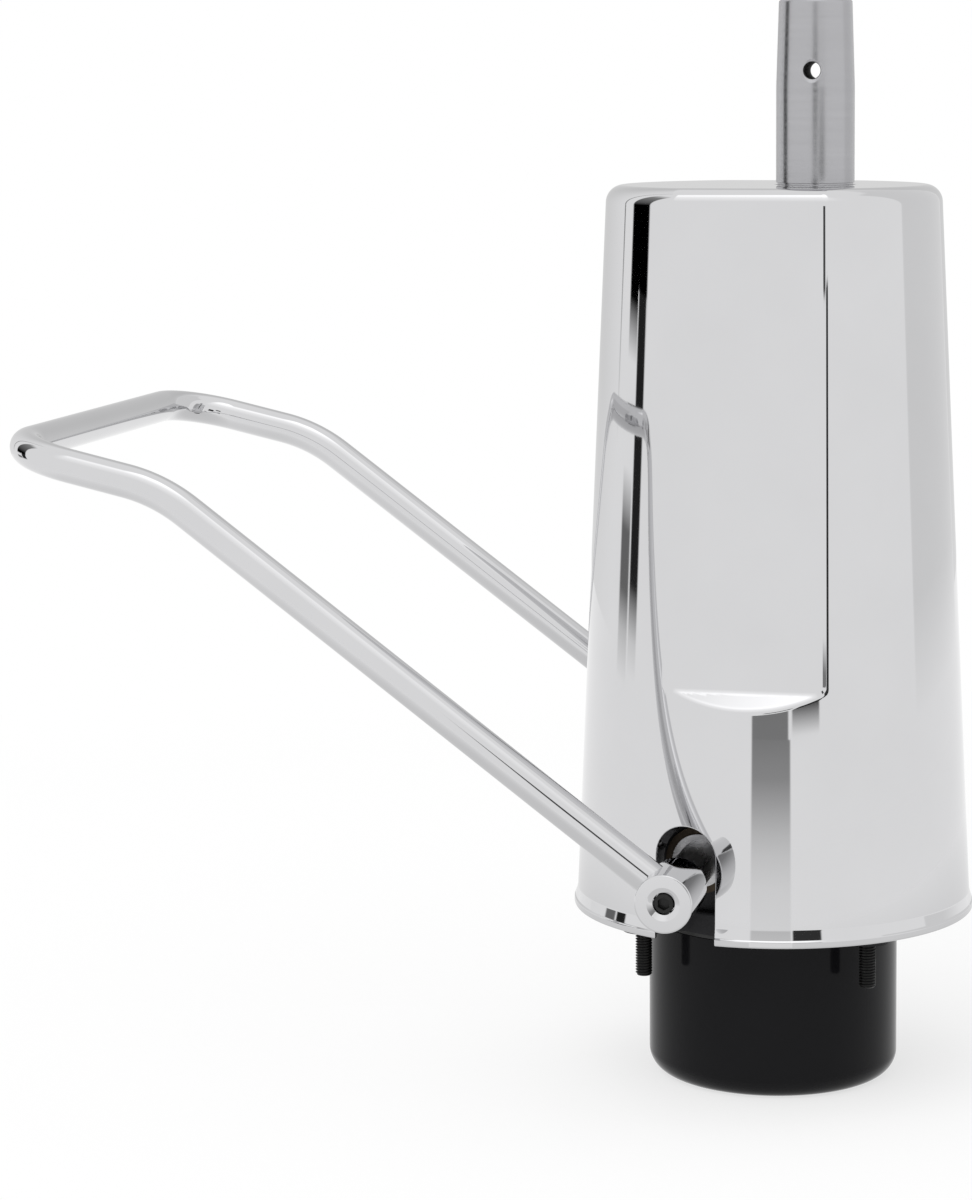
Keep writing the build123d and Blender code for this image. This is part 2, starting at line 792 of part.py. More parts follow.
# Hubs, their screws and the foot bar that is welded to them
for name, side in (("hub_near", -1), ("hub_far", 1)):
    with BuildPart() as hub:
        shaft_round(hub_radius, side, hub_inner_end, hub_inner_end + hub_length)
        end_edges = hub.edges().filter_by(GeomType.CIRCLE)
        chamfer(end_edges, hub_edge)
        with BuildSketch(across_shaft(side, hub_inner_end)) as hub_bore:
            Circle(shaft_radius + fixed_fit)
            with Locations((0, shaft_flat + fixed_fit)):
                Rectangle(
                    3 * shaft_radius, 2 * shaft_radius,
                    align=(Align.CENTER, Align.MIN), mode=Mode.SUBTRACT,
                )
        extrude(hub_bore.sketch, amount=shaft_end - hub_inner_end, mode=Mode.SUBTRACT)
        hub_face = hub_inner_end + hub_length
        shaft_round(screw_radius + running_fit, side, 0, hub_face, Mode.SUBTRACT)
        shaft_round(hub_sink_radius, side, hub_face - hub_sink_depth, hub_face, Mode.SUBTRACT)
    finish(hub, name)

with BuildPart() as hub_screws:
    for side in (1, -1):
        head_start = hub_face - hub_sink_depth
        head_end = head_start + screw_head_height
        shaft_round(screw_head_radius, side, head_start, head_end)
        shaft_round(screw_radius, side, head_start - screw_length + hub_wall, head_start)
        with BuildSketch(across_shaft(side, head_end - hex_depth)) as socket:
            RegularPolygon(hex_across / 2, 6, major_radius=False)
        extrude(socket.sketch, amount=hex_depth, mode=Mode.SUBTRACT)
finish(hub_screws, "hub_screws")

arm_rise = math.radians(arm_angle)
tread_rise = math.radians(tread_angle)
bend_x = pivot_x - arm_length * math.cos(arm_rise)
bend_z = pivot_z + arm_length * math.sin(arm_rise)
tread_x = bend_x - tread_length * math.cos(tread_rise)
tread_z = bend_z + tread_length * math.sin(tread_rise)
half_bar = bar_spacing / 2
with BuildPart() as foot_bar:
    with BuildLine() as bar_path:
        FilletPolyline(
            (pivot_x, -half_bar, pivot_z),
            (bend_x, -half_bar, bend_z),
            (tread_x, -half_bar, tread_z),
            (tread_x, half_bar, tread_z),
            (bend_x, half_bar, bend_z),
            (pivot_x, half_bar, pivot_z),
            radius=[bend_radius, corner_radius, corner_radius, bend_radius],
        )
    with BuildSketch(Plane(origin=bar_path.line @ 0, z_dir=bar_path.line % 0)):
        Circle(bar_radius)
    sweep()
    for side in (1, -1):
        shaft_round(hub_radius + fixed_fit, side, 0, hub_face, Mode.SUBTRACT)
finish(foot_bar, "foot_bar")

# Plunger, its cap, gland and barrel
cap_bottom = cap_top - cap_thick
with BuildPart() as plunger:
    bar(plunger_at, plunger_radius, plunger_bottom, cap_bottom)
    bar(plunger_at, cap_spigot_radius, cap_bottom, cap_top - cap_thick / 3)
finish(plunger, "plunger")

with BuildPart() as plunger_cap:
    bar(plunger_at, cap_radius, cap_bottom, cap_top)
    bar(
        plunger_at, cap_spigot_radius + fixed_fit,
        cap_bottom, cap_top - cap_thick / 3, Mode.SUBTRACT,
    )
finish(plunger_cap, "plunger_cap")

with BuildPart() as plunger_barrel:
    ring(plunger_at, barrel_radius, plunger_radius + running_fit, barrel_bottom, spring_seat - gland_ring)
    bar(
        plunger_at, plunger_seal_radius + fixed_fit,
        spring_seat - gland_ring - plunger_seal_height, spring_seat - gland_ring, Mode.SUBTRACT,
    )
finish(plunger_barrel, "plunger_barrel")

with BuildPart() as plunger_seal:
    ring(
        plunger_at, plunger_seal_radius, plunger_radius + running_fit,
        spring_seat - gland_ring - plunger_seal_height, spring_seat - gland_ring,
    )
finish(plunger_seal, "plunger_seal")

with BuildPart() as plunger_gland:
    ring(
        plunger_at, spring_pocket_radius - fixed_fit, plunger_radius + running_fit,
        spring_seat - gland_ring, spring_seat,
    )
finish(plunger_gland, "plunger_gland")


def coil_spring(at, middle_radius, wire, turns, bottom, top):
    """A coil spring that stands between two heights."""
    height = top - bottom - wire
    with BuildPart() as spring:
        with BuildLine() as coil:
            Helix(height / turns, height, middle_radius, center=(*at, bottom + wire / 2))
        with BuildSketch(Plane(origin=coil.line @ 0, z_dir=coil.line % 0)):
            Circle(wire / 2)
        sweep(is_frenet=True)
    return spring


spring_middle = plunger_radius + spring_side_gap + spring_wire / 2
return_spring = coil_spring(
    plunger_at, spring_middle, spring_wire, spring_turns, spring_seat, cap_bottom
)
finish(return_spring, "return_spring")

# Suction valve, its ball and strainer
with BuildPart() as suction_seat:
    bar(plunger_at, suction_plug_radius, -valve_boss_depth, suction_chamber_bottom)
    hex_bar(plunger_at, suction_head_across, -valve_boss_depth - suction_head, -valve_boss_depth)
    bar(
        plunger_at, suction_bore_radius,
        -valve_boss_depth - suction_head, suction_chamber_bottom, Mode.SUBTRACT,
    )
finish(suction_seat, "suction_seat")

seat_sink = math.sqrt(ball_radius**2 - suction_bore_radius**2)
with BuildPart() as suction_ball:
    with Locations((*plunger_at, suction_chamber_bottom + seat_sink + fixed_fit)):
        Sphere(ball_radius)
finish(suction_ball, "suction_ball")

strainer_top = -valve_boss_depth - suction_head
strainer_bottom = canister_wall + strainer_floor_gap - canister_depth
with BuildPart() as strainer:
    bar(plunger_at, strainer_radius, strainer_bottom, strainer_top)
    bar(
        plunger_at, strainer_radius - strainer_wall,
        strainer_bottom + strainer_wall, strainer_top, Mode.SUBTRACT,
    )
finish(strainer, "strainer")

# Delivery valve
with BuildPart() as delivery_seat:
    ring(
        delivery_at, delivery_radius - fixed_fit, drill_radius,
        delivery_seat_top - delivery_seat_thick, delivery_seat_top,
    )
finish(delivery_seat, "delivery_seat")

delivery_sink = math.sqrt(ball_radius**2 - drill_radius**2)
ball_top = delivery_seat_top + delivery_sink + ball_radius + fixed_fit
with BuildPart() as delivery_ball:
    with Locations((*delivery_at, delivery_seat_top + delivery_sink + fixed_fit)):
        Sphere(ball_radius)
finish(delivery_ball, "delivery_ball")

small_middle = delivery_radius - spring_side_gap - small_wire / 2
delivery_spring = coil_spring(
    delivery_at, small_middle, small_wire, small_turns, ball_top - ball_radius / 3, delivery_top
)
finish(delivery_spring, "delivery_spring")

with BuildPart() as delivery_plug:
    bar(
        delivery_at, delivery_plug_radius,
        -valve_boss_depth, delivery_plug_length - valve_boss_depth,
    )
    hex_bar(
        delivery_at, delivery_plug_across,
        -valve_boss_depth - delivery_plug_head, -valve_boss_depth,
    )
finish(delivery_plug, "delivery_plug")

# Release valve: a sprung pin over a ball
release_top = pivot_z - finger_drop - finger_nose - free_gap
release_head_bottom = release_top - release_head_thick
with BuildPart() as release_pin:
    bar(release_at, release_radius, release_tip, release_head_bottom)
    bar(release_at, release_head_radius, release_head_bottom, release_top)
finish(release_pin, "release_pin")

release_middle = release_radius + spring_side_gap + small_wire / 2
release_spring = coil_spring(
    release_at, release_middle, small_wire, small_turns,
    release_pocket_floor, release_head_bottom,
)
finish(release_spring, "release_spring")

with BuildPart() as release_ball:
    with Locations((*release_at, release_plug_top + ball_radius)):
        Sphere(ball_radius)
finish(release_ball, "release_ball")

with BuildPart() as release_plug:
    bar(
        release_at, release_plug_radius,
        -valve_boss_depth, release_plug_length - valve_boss_depth,
    )
    bar(
        release_at, release_chamber_radius - fixed_fit,
        release_plug_length - valve_boss_depth, release_plug_top,
    )
    hex_bar(
        release_at, release_plug_across,
        -valve_boss_depth - release_plug_head, -valve_boss_depth,
    )
finish(release_plug, "release_plug")

# Filler plug on its copper washer
filler_seat = flange_thick + filler_washer_thick
with BuildPart() as filler_washer:
    ring(filler_at, filler_washer_radius, filler_radius + fixed_fit, flange_thick, filler_seat)
finish(filler_washer, "filler_washer")

with BuildPart() as filler_plug:
    bar(filler_at, filler_radius, filler_seat - filler_length, filler_seat)
    hex_bar(filler_at, filler_across, filler_seat, filler_seat + filler_head)
finish(filler_plug, "filler_plug")
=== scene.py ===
"""Hydraulic chair pump: visual pieces, finishes and stage, laid out as a Blender add-on."""
import math
from types import SimpleNamespace

import bpy
import numpy as np
from mathutils import Matrix, Vector


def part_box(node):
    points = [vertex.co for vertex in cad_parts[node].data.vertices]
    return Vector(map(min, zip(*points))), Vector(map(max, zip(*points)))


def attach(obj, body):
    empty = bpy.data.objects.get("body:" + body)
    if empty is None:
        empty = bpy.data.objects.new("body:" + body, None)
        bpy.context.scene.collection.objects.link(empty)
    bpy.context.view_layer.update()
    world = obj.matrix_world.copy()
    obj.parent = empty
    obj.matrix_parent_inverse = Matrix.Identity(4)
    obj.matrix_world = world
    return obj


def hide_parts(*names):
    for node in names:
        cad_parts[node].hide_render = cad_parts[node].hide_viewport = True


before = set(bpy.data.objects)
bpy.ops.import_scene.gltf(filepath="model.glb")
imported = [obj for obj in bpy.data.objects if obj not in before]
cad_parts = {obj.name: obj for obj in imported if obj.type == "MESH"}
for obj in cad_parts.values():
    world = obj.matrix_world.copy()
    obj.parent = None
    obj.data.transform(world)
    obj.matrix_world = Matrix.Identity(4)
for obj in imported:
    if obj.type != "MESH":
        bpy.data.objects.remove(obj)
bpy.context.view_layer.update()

bl_info = {
    "name": "Hydraulic chair pump",
    "version": (1, 0, 0),
    "blender": (4, 5, 0),
    "location": "3D View > Sidebar > Chair pump",
    "description": "Builds the visual pieces, finishes and stage of a hydraulic chair pump",
    "category": "Object",
}

MM = 0.001
# Degrees round from -Y towards +X, about the camera's side, from which the cards' angles are counted.
CAMERA_SIDE = 10.4
# Places in millimetres that several pieces share: the ram's axis and the pivot.
RAM_OFFSET = 15.0
PIVOT_X = -20.0


def size(name, description, millimetres):
    """A length property whose default is given in millimetres."""
    return bpy.props.FloatProperty(
        name=name, description=description, default=millimetres * MM, unit="LENGTH", precision=5
    )


def angle(name, description, degrees):
    """An angle property whose default is given in degrees."""
    return bpy.props.FloatProperty(
        name=name, description=description, default=math.radians(degrees), subtype="ANGLE"
    )


def colour(name, description, red, green, blue):
    """A linear colour property."""
    return bpy.props.FloatVectorProperty(
        name=name, description=description, default=(red, green, blue), subtype="COLOR", size=3, min=0, max=1
    )


class FinishColours(bpy.types.PropertyGroup):
    """Base colour of each finish."""

    chrome: colour("Chrome", "Bright plate on the cover, foot bar and hubs", 0.66, 0.66, 0.67)
    ram_steel: colour("Ram", "Satin ground ram", 0.44, 0.44, 0.455)
    canister_black: colour("Canister", "Gloss black paint", 0.007, 0.007, 0.008)
    block_dark: colour("Pump block", "Satin dark paint on cast iron", 0.022, 0.022, 0.024)
    bolt_black: colour("Bolts", "Black oxide steel", 0.018, 0.018, 0.018)
    steel: colour("Steel", "Machined steel", 0.5, 0.5, 0.51)
    spring_steel: colour("Springs", "Oiled spring steel", 0.32, 0.32, 0.33)
    ball_steel: colour("Balls", "Polished bearing steel", 0.62, 0.62, 0.62)
    # Painted shade: the bushes' bronze is darkened to near black to stand in for the shade inside the slot.
    bronze: colour("Bronze", "Sintered bronze bushes, darkened as painted shade", 0.06, 0.048, 0.036)
    copper: colour("Copper", "Annealed copper washer", 0.6, 0.27, 0.16)
    rubber: colour("Rubber", "Black nitrile rubber", 0.02, 0.02, 0.02)
    bearing_plastic: colour("Plastic", "Natural nylon band", 0.7, 0.66, 0.55)
    mesh_brass: colour("Strainer", "Fine brass wire mesh", 0.55, 0.42, 0.18)


class StageSettings(bpy.types.PropertyGroup):
    """Camera, floor and lights."""

    camera_x: size("Camera X", "Camera place across", 197.8)
    camera_y: size("Camera Y", "Camera place in depth", -1230.2)
    camera_z: size("Camera Z", "Camera height above the flange's underside", 302.6)
    camera_yaw: angle("Yaw", "Turn of the view to the left of straight ahead", 13.105)
    camera_pitch: angle("Pitch", "Tilt of the view below the horizon", 4.655)
    camera_roll: angle("Roll", "Turn of the picture about the view", -0.25)
    camera_lens: bpy.props.FloatProperty(
        name="Lens", description="Focal length in millimetres", default=103.88
    )
    camera_shift_x: bpy.props.FloatProperty(name="Shift X", description="Framing shift across", default=-0.04)
    camera_shift_y: bpy.props.FloatProperty(name="Shift Y", description="Framing shift upward", default=-0.20)
    room_light: bpy.props.FloatProperty(
        name="Room light", description="Strength of the surroundings on unpolished surfaces", default=0.72
    )
    ledge_light: bpy.props.FloatProperty(
        name="Ledge light", description="Strength of the card overhead that brightens the ledges",
        default=1.62,
    )
    softbox_power: bpy.props.FloatProperty(
        name="Softbox", description="Power of the overhead softbox in watts", default=3.0
    )
    key_power: bpy.props.FloatProperty(
        name="Key light", description="Strength of the soft key light", default=0.9
    )


class NodeTree:
    """Short calls for adding and joining nodes in one shader tree."""

    def __init__(self, tree):
        self.tree = tree

    def add(self, kind, values=(), **settings):
        """A new node of that kind, with settings, and values for its inputs by name or number."""
        node = self.tree.nodes.new(kind)
        for key, value in settings.items():
            setattr(node, key, value)
        for key, value in dict(values).items():
            node.inputs[key].default_value = value
        return node

    def link(self, source, target):
        """Joins an output socket to an input socket."""
        self.tree.links.new(source, target)


def new_group(name, inputs, outputs):
    """An empty shader node group with float or vector sockets, its input and output nodes."""
    tree = bpy.data.node_groups.new(name, "ShaderNodeTree")
    for label, kind, value in inputs:
        socket = tree.interface.new_socket(name=label, in_out="INPUT", socket_type=kind)
        socket.default_value = value
    for label, kind in outputs:
        tree.interface.new_socket(name=label, in_out="OUTPUT", socket_type=kind)
    nodes = NodeTree(tree)
    return nodes, nodes.add("NodeGroupInput"), nodes.add("NodeGroupOutput")


def variation_group():
    """Noise on the piece's own coordinates, stretched by a vector and mapped between Low and High."""
    found = bpy.data.node_groups.get("fine_variation")
    if found:
        return found
    nodes, given, result = new_group(
        "fine_variation",
        [
            ("Stretch", "NodeSocketVector", (1, 1, 1)),
            ("Scale", "NodeSocketFloat", 40.0),
            ("Low", "NodeSocketFloat", 0.0),
            ("High", "NodeSocketFloat", 1.0),
        ],
        [("Value", "NodeSocketFloat")],
    )
    place = nodes.add("ShaderNodeTexCoord")
    stretch = nodes.add("ShaderNodeVectorMath", operation="MULTIPLY")
    noise = nodes.add("ShaderNodeTexNoise", {"Detail": 4.0, "Roughness": 0.55})
    spread = nodes.add("ShaderNodeMapRange", {"From Min": 0.3, "From Max": 0.7})
    nodes.link(place.outputs["Object"], stretch.inputs[0])
    nodes.link(given.outputs["Stretch"], stretch.inputs[1])
    nodes.link(stretch.outputs[0], noise.inputs["Vector"])
    nodes.link(given.outputs["Scale"], noise.inputs["Scale"])
    nodes.link(noise.outputs["Fac"], spread.inputs["Value"])
    nodes.link(given.outputs["Low"], spread.inputs["To Min"])
    nodes.link(given.outputs["High"], spread.inputs["To Max"])
    nodes.link(spread.outputs[0], result.inputs["Value"])
    return nodes.tree


def relief_group():
    """Fine height on the piece's own coordinates, stretched by a vector, as a bumped normal."""
    found = bpy.data.node_groups.get("fine_relief")
    if found:
        return found
    nodes, given, result = new_group(
        "fine_relief",
        [
            ("Stretch", "NodeSocketVector", (1, 1, 1)),
            ("Scale", "NodeSocketFloat", 400.0),
            ("Strength", "NodeSocketFloat", 0.2),
            ("Height", "NodeSocketFloat", 0.0002),
        ],
        [("Normal", "NodeSocketVector")],
    )
    place = nodes.add("ShaderNodeTexCoord")
    stretch = nodes.add("ShaderNodeVectorMath", operation="MULTIPLY")
    noise = nodes.add("ShaderNodeTexNoise", {"Detail": 3.0, "Roughness": 0.6})
    bump = nodes.add("ShaderNodeBump")
    nodes.link(place.outputs["Object"], stretch.inputs[0])
    nodes.link(given.outputs["Stretch"], stretch.inputs[1])
    nodes.link(stretch.outputs[0], noise.inputs["Vector"])
    nodes.link(given.outputs["Scale"], noise.inputs["Scale"])
    nodes.link(noise.outputs["Fac"], bump.inputs["Height"])
    nodes.link(given.outputs["Strength"], bump.inputs["Strength"])
    nodes.link(given.outputs["Height"], bump.inputs["Distance"])
    nodes.link(bump.outputs["Normal"], result.inputs["Normal"])
    return nodes.tree


# Roughness is the least and the most, grain the noise's scale and tone the share by which the colour varies.
# Relief is the noise's scale, the bump's strength and its height in metres.
FINISHES = {
    "chrome": {"metallic": 1.0, "roughness": (0.022, 0.04), "grain": 60, "tone": 0.015},
    "ram_steel": {
        "metallic": 1.0, "roughness": (0.2, 0.26), "grain": 30, "tone": 0.03,
        # The ram's cross hole gets a painted shade: near-black matt colour in place of the shade inside it.
        "stretch": (1, 1, 30), "relief": (120, 0.10, 0.00005), "painted_bore_shade": True,
    },
    "canister_black": {"metallic": 0.0, "roughness": (0.1, 0.15), "grain": 50, "tone": 0.1, "specular": 0.13},
    "block_dark": {
        "metallic": 0.0, "roughness": (0.4, 0.55), "grain": 80, "tone": 0.12, "relief": (700, 0.5, 0.0003),
        "specular": 0.14,
    },
    "bolt_black": {
        "metallic": 0.6, "roughness": (0.3, 0.42), "grain": 150, "tone": 0.15, "relief": (1500, 0.2, 0.0001),
    },
    "steel": {
        "metallic": 1.0, "roughness": (0.24, 0.34), "grain": 60, "tone": 0.06,
        "stretch": (1, 1, 12), "relief": (300, 0.12, 0.0001),
    },
    "spring_steel": {"metallic": 1.0, "roughness": (0.25, 0.35), "grain": 90, "tone": 0.08},
    "ball_steel": {"metallic": 1.0, "roughness": (0.05, 0.1), "grain": 200, "tone": 0.03},
    "bronze": {
        "metallic": 1.0, "roughness": (0.35, 0.5), "grain": 250, "tone": 0.12, "relief": (1800, 0.3, 0.0001),
    },
    "copper": {"metallic": 1.0, "roughness": (0.28, 0.4), "grain": 120, "tone": 0.1},
    "rubber": {
        "metallic": 0.0, "roughness": (0.5, 0.7), "grain": 150, "tone": 0.15, "relief": (900, 0.25, 0.0001),
    },
    "bearing_plastic": {"metallic": 0.0, "roughness": (0.4, 0.5), "grain": 100, "tone": 0.05},
    "mesh_brass": {
        "metallic": 1.0, "roughness": (0.35, 0.5), "grain": 400, "tone": 0.2, "relief": (2500, 0.6, 0.0003),
    },
}

SLOT_NODES = {
    "canister_black": ["oil_canister"],
    "block_dark": ["pump_block"],
    "bolt_black": ["mounting_bolts", "bolt_washers", "hub_screws"],
    "chrome": ["cover", "foot_bar", "hub_near", "hub_far"],
    "ram_steel": ["ram"],
    "spring_steel": ["return_spring", "delivery_spring", "release_spring"],
    "ball_steel": ["suction_ball", "delivery_ball", "release_ball"],
    "bronze": ["pivot_bushes", "guide_bush"],
    "copper": ["filler_washer"],
    "rubber": [
        "canister_gasket", "foot_seal", "rod_seal", "wiper_ring", "piston_seal", "plunger_seal", "cover_pad",
    ],
    "bearing_plastic": ["piston_band"],
    "mesh_brass": ["strainer"],
}


def paint_bore_shade(nodes, shader, tone, rough):
    """Painted shade: near-black matt colour instead of ground steel where a point lies within the ram's cross
    hole, standing in for the shade inside the hole; its distance from the hole's axis is the length of the
    cross product of its offset and the axis."""
    s = bpy.context.scene.pump_ram
    axis = (math.sin(s.turn), -math.cos(s.turn), 0)
    painted_shade_end, steel_start = s.hole_radius + 0.0001, s.hole_radius + 0.0003
    place = nodes.add("ShaderNodeTexCoord")
    offset = nodes.add("ShaderNodeVectorMath", {1: (s.offset, 0, s.hole_height)}, operation="SUBTRACT")
    across = nodes.add("ShaderNodeVectorMath", {1: axis}, operation="CROSS_PRODUCT")
    length = nodes.add("ShaderNodeVectorMath", operation="LENGTH")
    ground = nodes.add("ShaderNodeMapRange", {"From Min": painted_shade_end, "From Max": steel_start})
    colour_mix = nodes.add("ShaderNodeMix", data_type="RGBA")
    dark, bright = [socket for socket in colour_mix.inputs if socket.type == "RGBA"]
    # Painted shade: this near-black colour stands in for the shade inside the cross hole.
    dark.default_value = (0.012, 0.012, 0.012, 1)
    rough_mix = nodes.add("ShaderNodeMix", {"A": 0.85})
    nodes.link(place.outputs["Object"], offset.inputs[0])
    nodes.link(offset.outputs[0], across.inputs[0])
    nodes.link(across.outputs[0], length.inputs[0])
    nodes.link(length.outputs["Value"], ground.inputs["Value"])
    nodes.link(ground.outputs[0], colour_mix.inputs[0])
    nodes.link(tone, bright)
    nodes.link(ground.outputs[0], rough_mix.inputs[0])
    nodes.link(rough, rough_mix.inputs["B"])
    nodes.link(ground.outputs[0], shader.inputs["Metallic"])
    mixed = [socket for socket in colour_mix.outputs if socket.type == "RGBA"][0]
    nodes.link(mixed, shader.inputs["Base Color"])
    nodes.link(rough_mix.outputs[0], shader.inputs["Roughness"])


def finish(name):
    """The procedural material of a slot: colour and roughness vary with fine noise, and relief is a faint
    bump."""
    found = bpy.data.materials.get(name + "_finish")
    if found:
        return found
    look = FINISHES[name]
    base = getattr(bpy.context.scene.pump_colours, name)
    material = bpy.data.materials.new(name + "_finish")
    material.use_nodes = True
    material.node_tree.nodes.clear()
    nodes = NodeTree(material.node_tree)
    shader = nodes.add(
        "ShaderNodeBsdfPrincipled",
        {"Metallic": look["metallic"], "Specular IOR Level": look.get("specular", 0.5)},
    )
    output = nodes.add("ShaderNodeOutputMaterial")
    nodes.link(shader.outputs["BSDF"], output.inputs["Surface"])
    stretch = look.get("stretch", (1, 1, 1))
    coarser = 0.4
    tint = nodes.add("ShaderNodeGroup", {}, node_tree=variation_group())
    tint.inputs["Scale"].default_value = look["grain"] * coarser
    tint.inputs["Stretch"].default_value = stretch
    mix = nodes.add("ShaderNodeMix", data_type="RGBA")
    colour_inputs = [socket for socket in mix.inputs if socket.type == "RGBA"]
    colour_inputs[0].default_value = (*[c * (1 - look["tone"]) for c in base], 1)
    colour_inputs[1].default_value = (*[min(1.0, c * (1 + look["tone"])) for c in base], 1)
    nodes.link(tint.outputs["Value"], mix.inputs[0])
    tone = [socket for socket in mix.outputs if socket.type == "RGBA"][0]
    rough = nodes.add("ShaderNodeGroup", {}, node_tree=variation_group())
    rough.inputs["Scale"].default_value = look["grain"]
    rough.inputs["Stretch"].default_value = stretch
    rough.inputs["Low"].default_value, rough.inputs["High"].default_value = look["roughness"]
    if "painted_bore_shade" in look:
        paint_bore_shade(nodes, shader, tone, rough.outputs["Value"])
    else:
        nodes.link(tone, shader.inputs["Base Color"])
        nodes.link(rough.outputs["Value"], shader.inputs["Roughness"])
    if "relief" in look:
        relief = nodes.add("ShaderNodeGroup", {}, node_tree=relief_group())
        relief.inputs["Stretch"].default_value = stretch
        for label, value in zip(("Scale", "Strength", "Height"), look["relief"]):
            relief.inputs[label].default_value = value
        nodes.link(relief.outputs["Normal"], shader.inputs["Normal"])
    return material


def slot_of(node):
    """The finish slot of a CAD node; steel where no other is named."""
    for name, members in SLOT_NODES.items():
        if node in members:
            return name
    return "steel"


def smooth_step(x):
    """Rises from 0 to 1 with level ends as x goes from 0 to 1."""
    x = np.clip(x, 0, 1)
    return x * x * (3 - 2 * x)


def measures(group):
    """The group's lengths in millimetres and its other values as they are, by name."""
    kinds = group.bl_rna.properties
    values = {field: getattr(group, field) for field in type(group).__annotations__}
    return SimpleNamespace(**{
        field: round(value / MM, 5) if kinds[field].unit == "LENGTH" else value
        for field, value in values.items()
    })


def unit(vectors):
    """Vectors scaled to length one."""
    return vectors / np.maximum(np.linalg.norm(vectors, axis=-1, keepdims=True), 1e-12)


def joined(*parts):
    """Coordinates stacked into points."""
    return np.stack(np.broadcast_arrays(*parts), -1).astype(float)


def surface(shape, u, v, facing):
    """A patch of the surface shape(u, v): its points, and unit normals from central differences of the
    function, turned to the side that the vectors of facing(points) point to."""
    step = 1e-4
    points = shape(u, v)
    along = shape(u + step, v) - shape(u - step, v)
    across = shape(u, v + step) - shape(u, v - step)
    normals = unit(np.cross(along, across))
    side = np.sign((normals * facing(points)).sum(-1, keepdims=True))
    return points, normals * np.where(side == 0, 1, side)


def flat_patch(points, normal):
    """A patch whose normals all point one way."""
    return points, np.broadcast_to(np.array(normal, float), points.shape)


def between(first, last, fractions):
    """Rows of points that go from the first row to the last by fractions."""
    part = np.asarray(fractions, float)[:, None, None]
    return first[None] * (1 - part) + last[None] * part


def rounded_line(corners, radii, steps=6):
    """A profile through corners, each rounded by its radius: points, and unit normals to the right of travel.
    The round is the arc that touches both sides; a corner of radius 0 is given twice, once with each side's
    normal."""
    corners = np.array(corners, float)
    ways = unit(np.diff(corners, axis=0))
    right = np.stack([ways[:, 1], -ways[:, 0]], -1)
    points, normals = [corners[:1]], [right[:1]]
    for index, radius in enumerate(radii):
        corner, before, after = corners[index + 1], ways[index], ways[index + 1]
        turn = math.atan2(before[0] * after[1] - before[1] * after[0], float(before @ after))
        turned = turn * np.linspace(0, 1, steps + 1 if radius else 2)[:, None]
        way = before * np.cos(turned) + np.array([-before[1], before[0]]) * np.sin(turned)
        outward = np.stack([way[:, 1], -way[:, 0]], -1)
        start = corner - before * radius * math.tan(abs(turn) / 2)
        side = math.copysign(radius, turn)
        points.append(start - right[index] * side + outward * side)
        normals.append(outward)
    points.append(corners[-1:])
    normals.append(right[-1:])
    return np.concatenate(points), np.concatenate(normals)


UPRIGHT = np.array([[0, -1, 0], [1, 0, 0], [0, 0, 1]], float)


def ring_of(angles, axes):
    """Directions round an axis: cos first axis + sin second axis at each angle."""
    return np.cos(angles)[:, None] * axes[0] + np.sin(angles)[:, None] * axes[1]


def lathe(profile, angles, centre=(0, 0, 0), axes=UPRIGHT):
    """A profile of (radius, height) points and normals carried round an axis: at each angle the point is
    centre + radius (cos first axis + sin second axis) + height third axis."""
    points, normals = profile
    ring = ring_of(angles, axes)
    place = points[:, 0, None, None] * ring[None] + points[:, 1, None, None] * axes[2]
    facing = normals[:, 0, None, None] * ring[None] + normals[:, 1, None, None] * axes[2]
    return place + np.array(centre, float), unit(facing)


def mirrored(patches):
    """The patches and their mirror images across the plane of X and Z."""
    flip = np.array([1, -1, 1], float)
    return patches + [(points * flip, normals * flip) for points, normals in patches]


def turned(columns):
    """Angles of a full turn in that many columns, the first repeated at the end."""
    return np.linspace(0, 2 * math.pi, columns + 1)


def grid_cells(rows, columns):
    """The four corners of each cell in a grid of points, by the points' numbers."""
    index = np.arange(rows * columns).reshape(rows, columns)
    return np.stack([index[:-1, :-1], index[1:, :-1], index[1:, 1:], index[:-1, 1:]], -1).reshape(-1, 4)


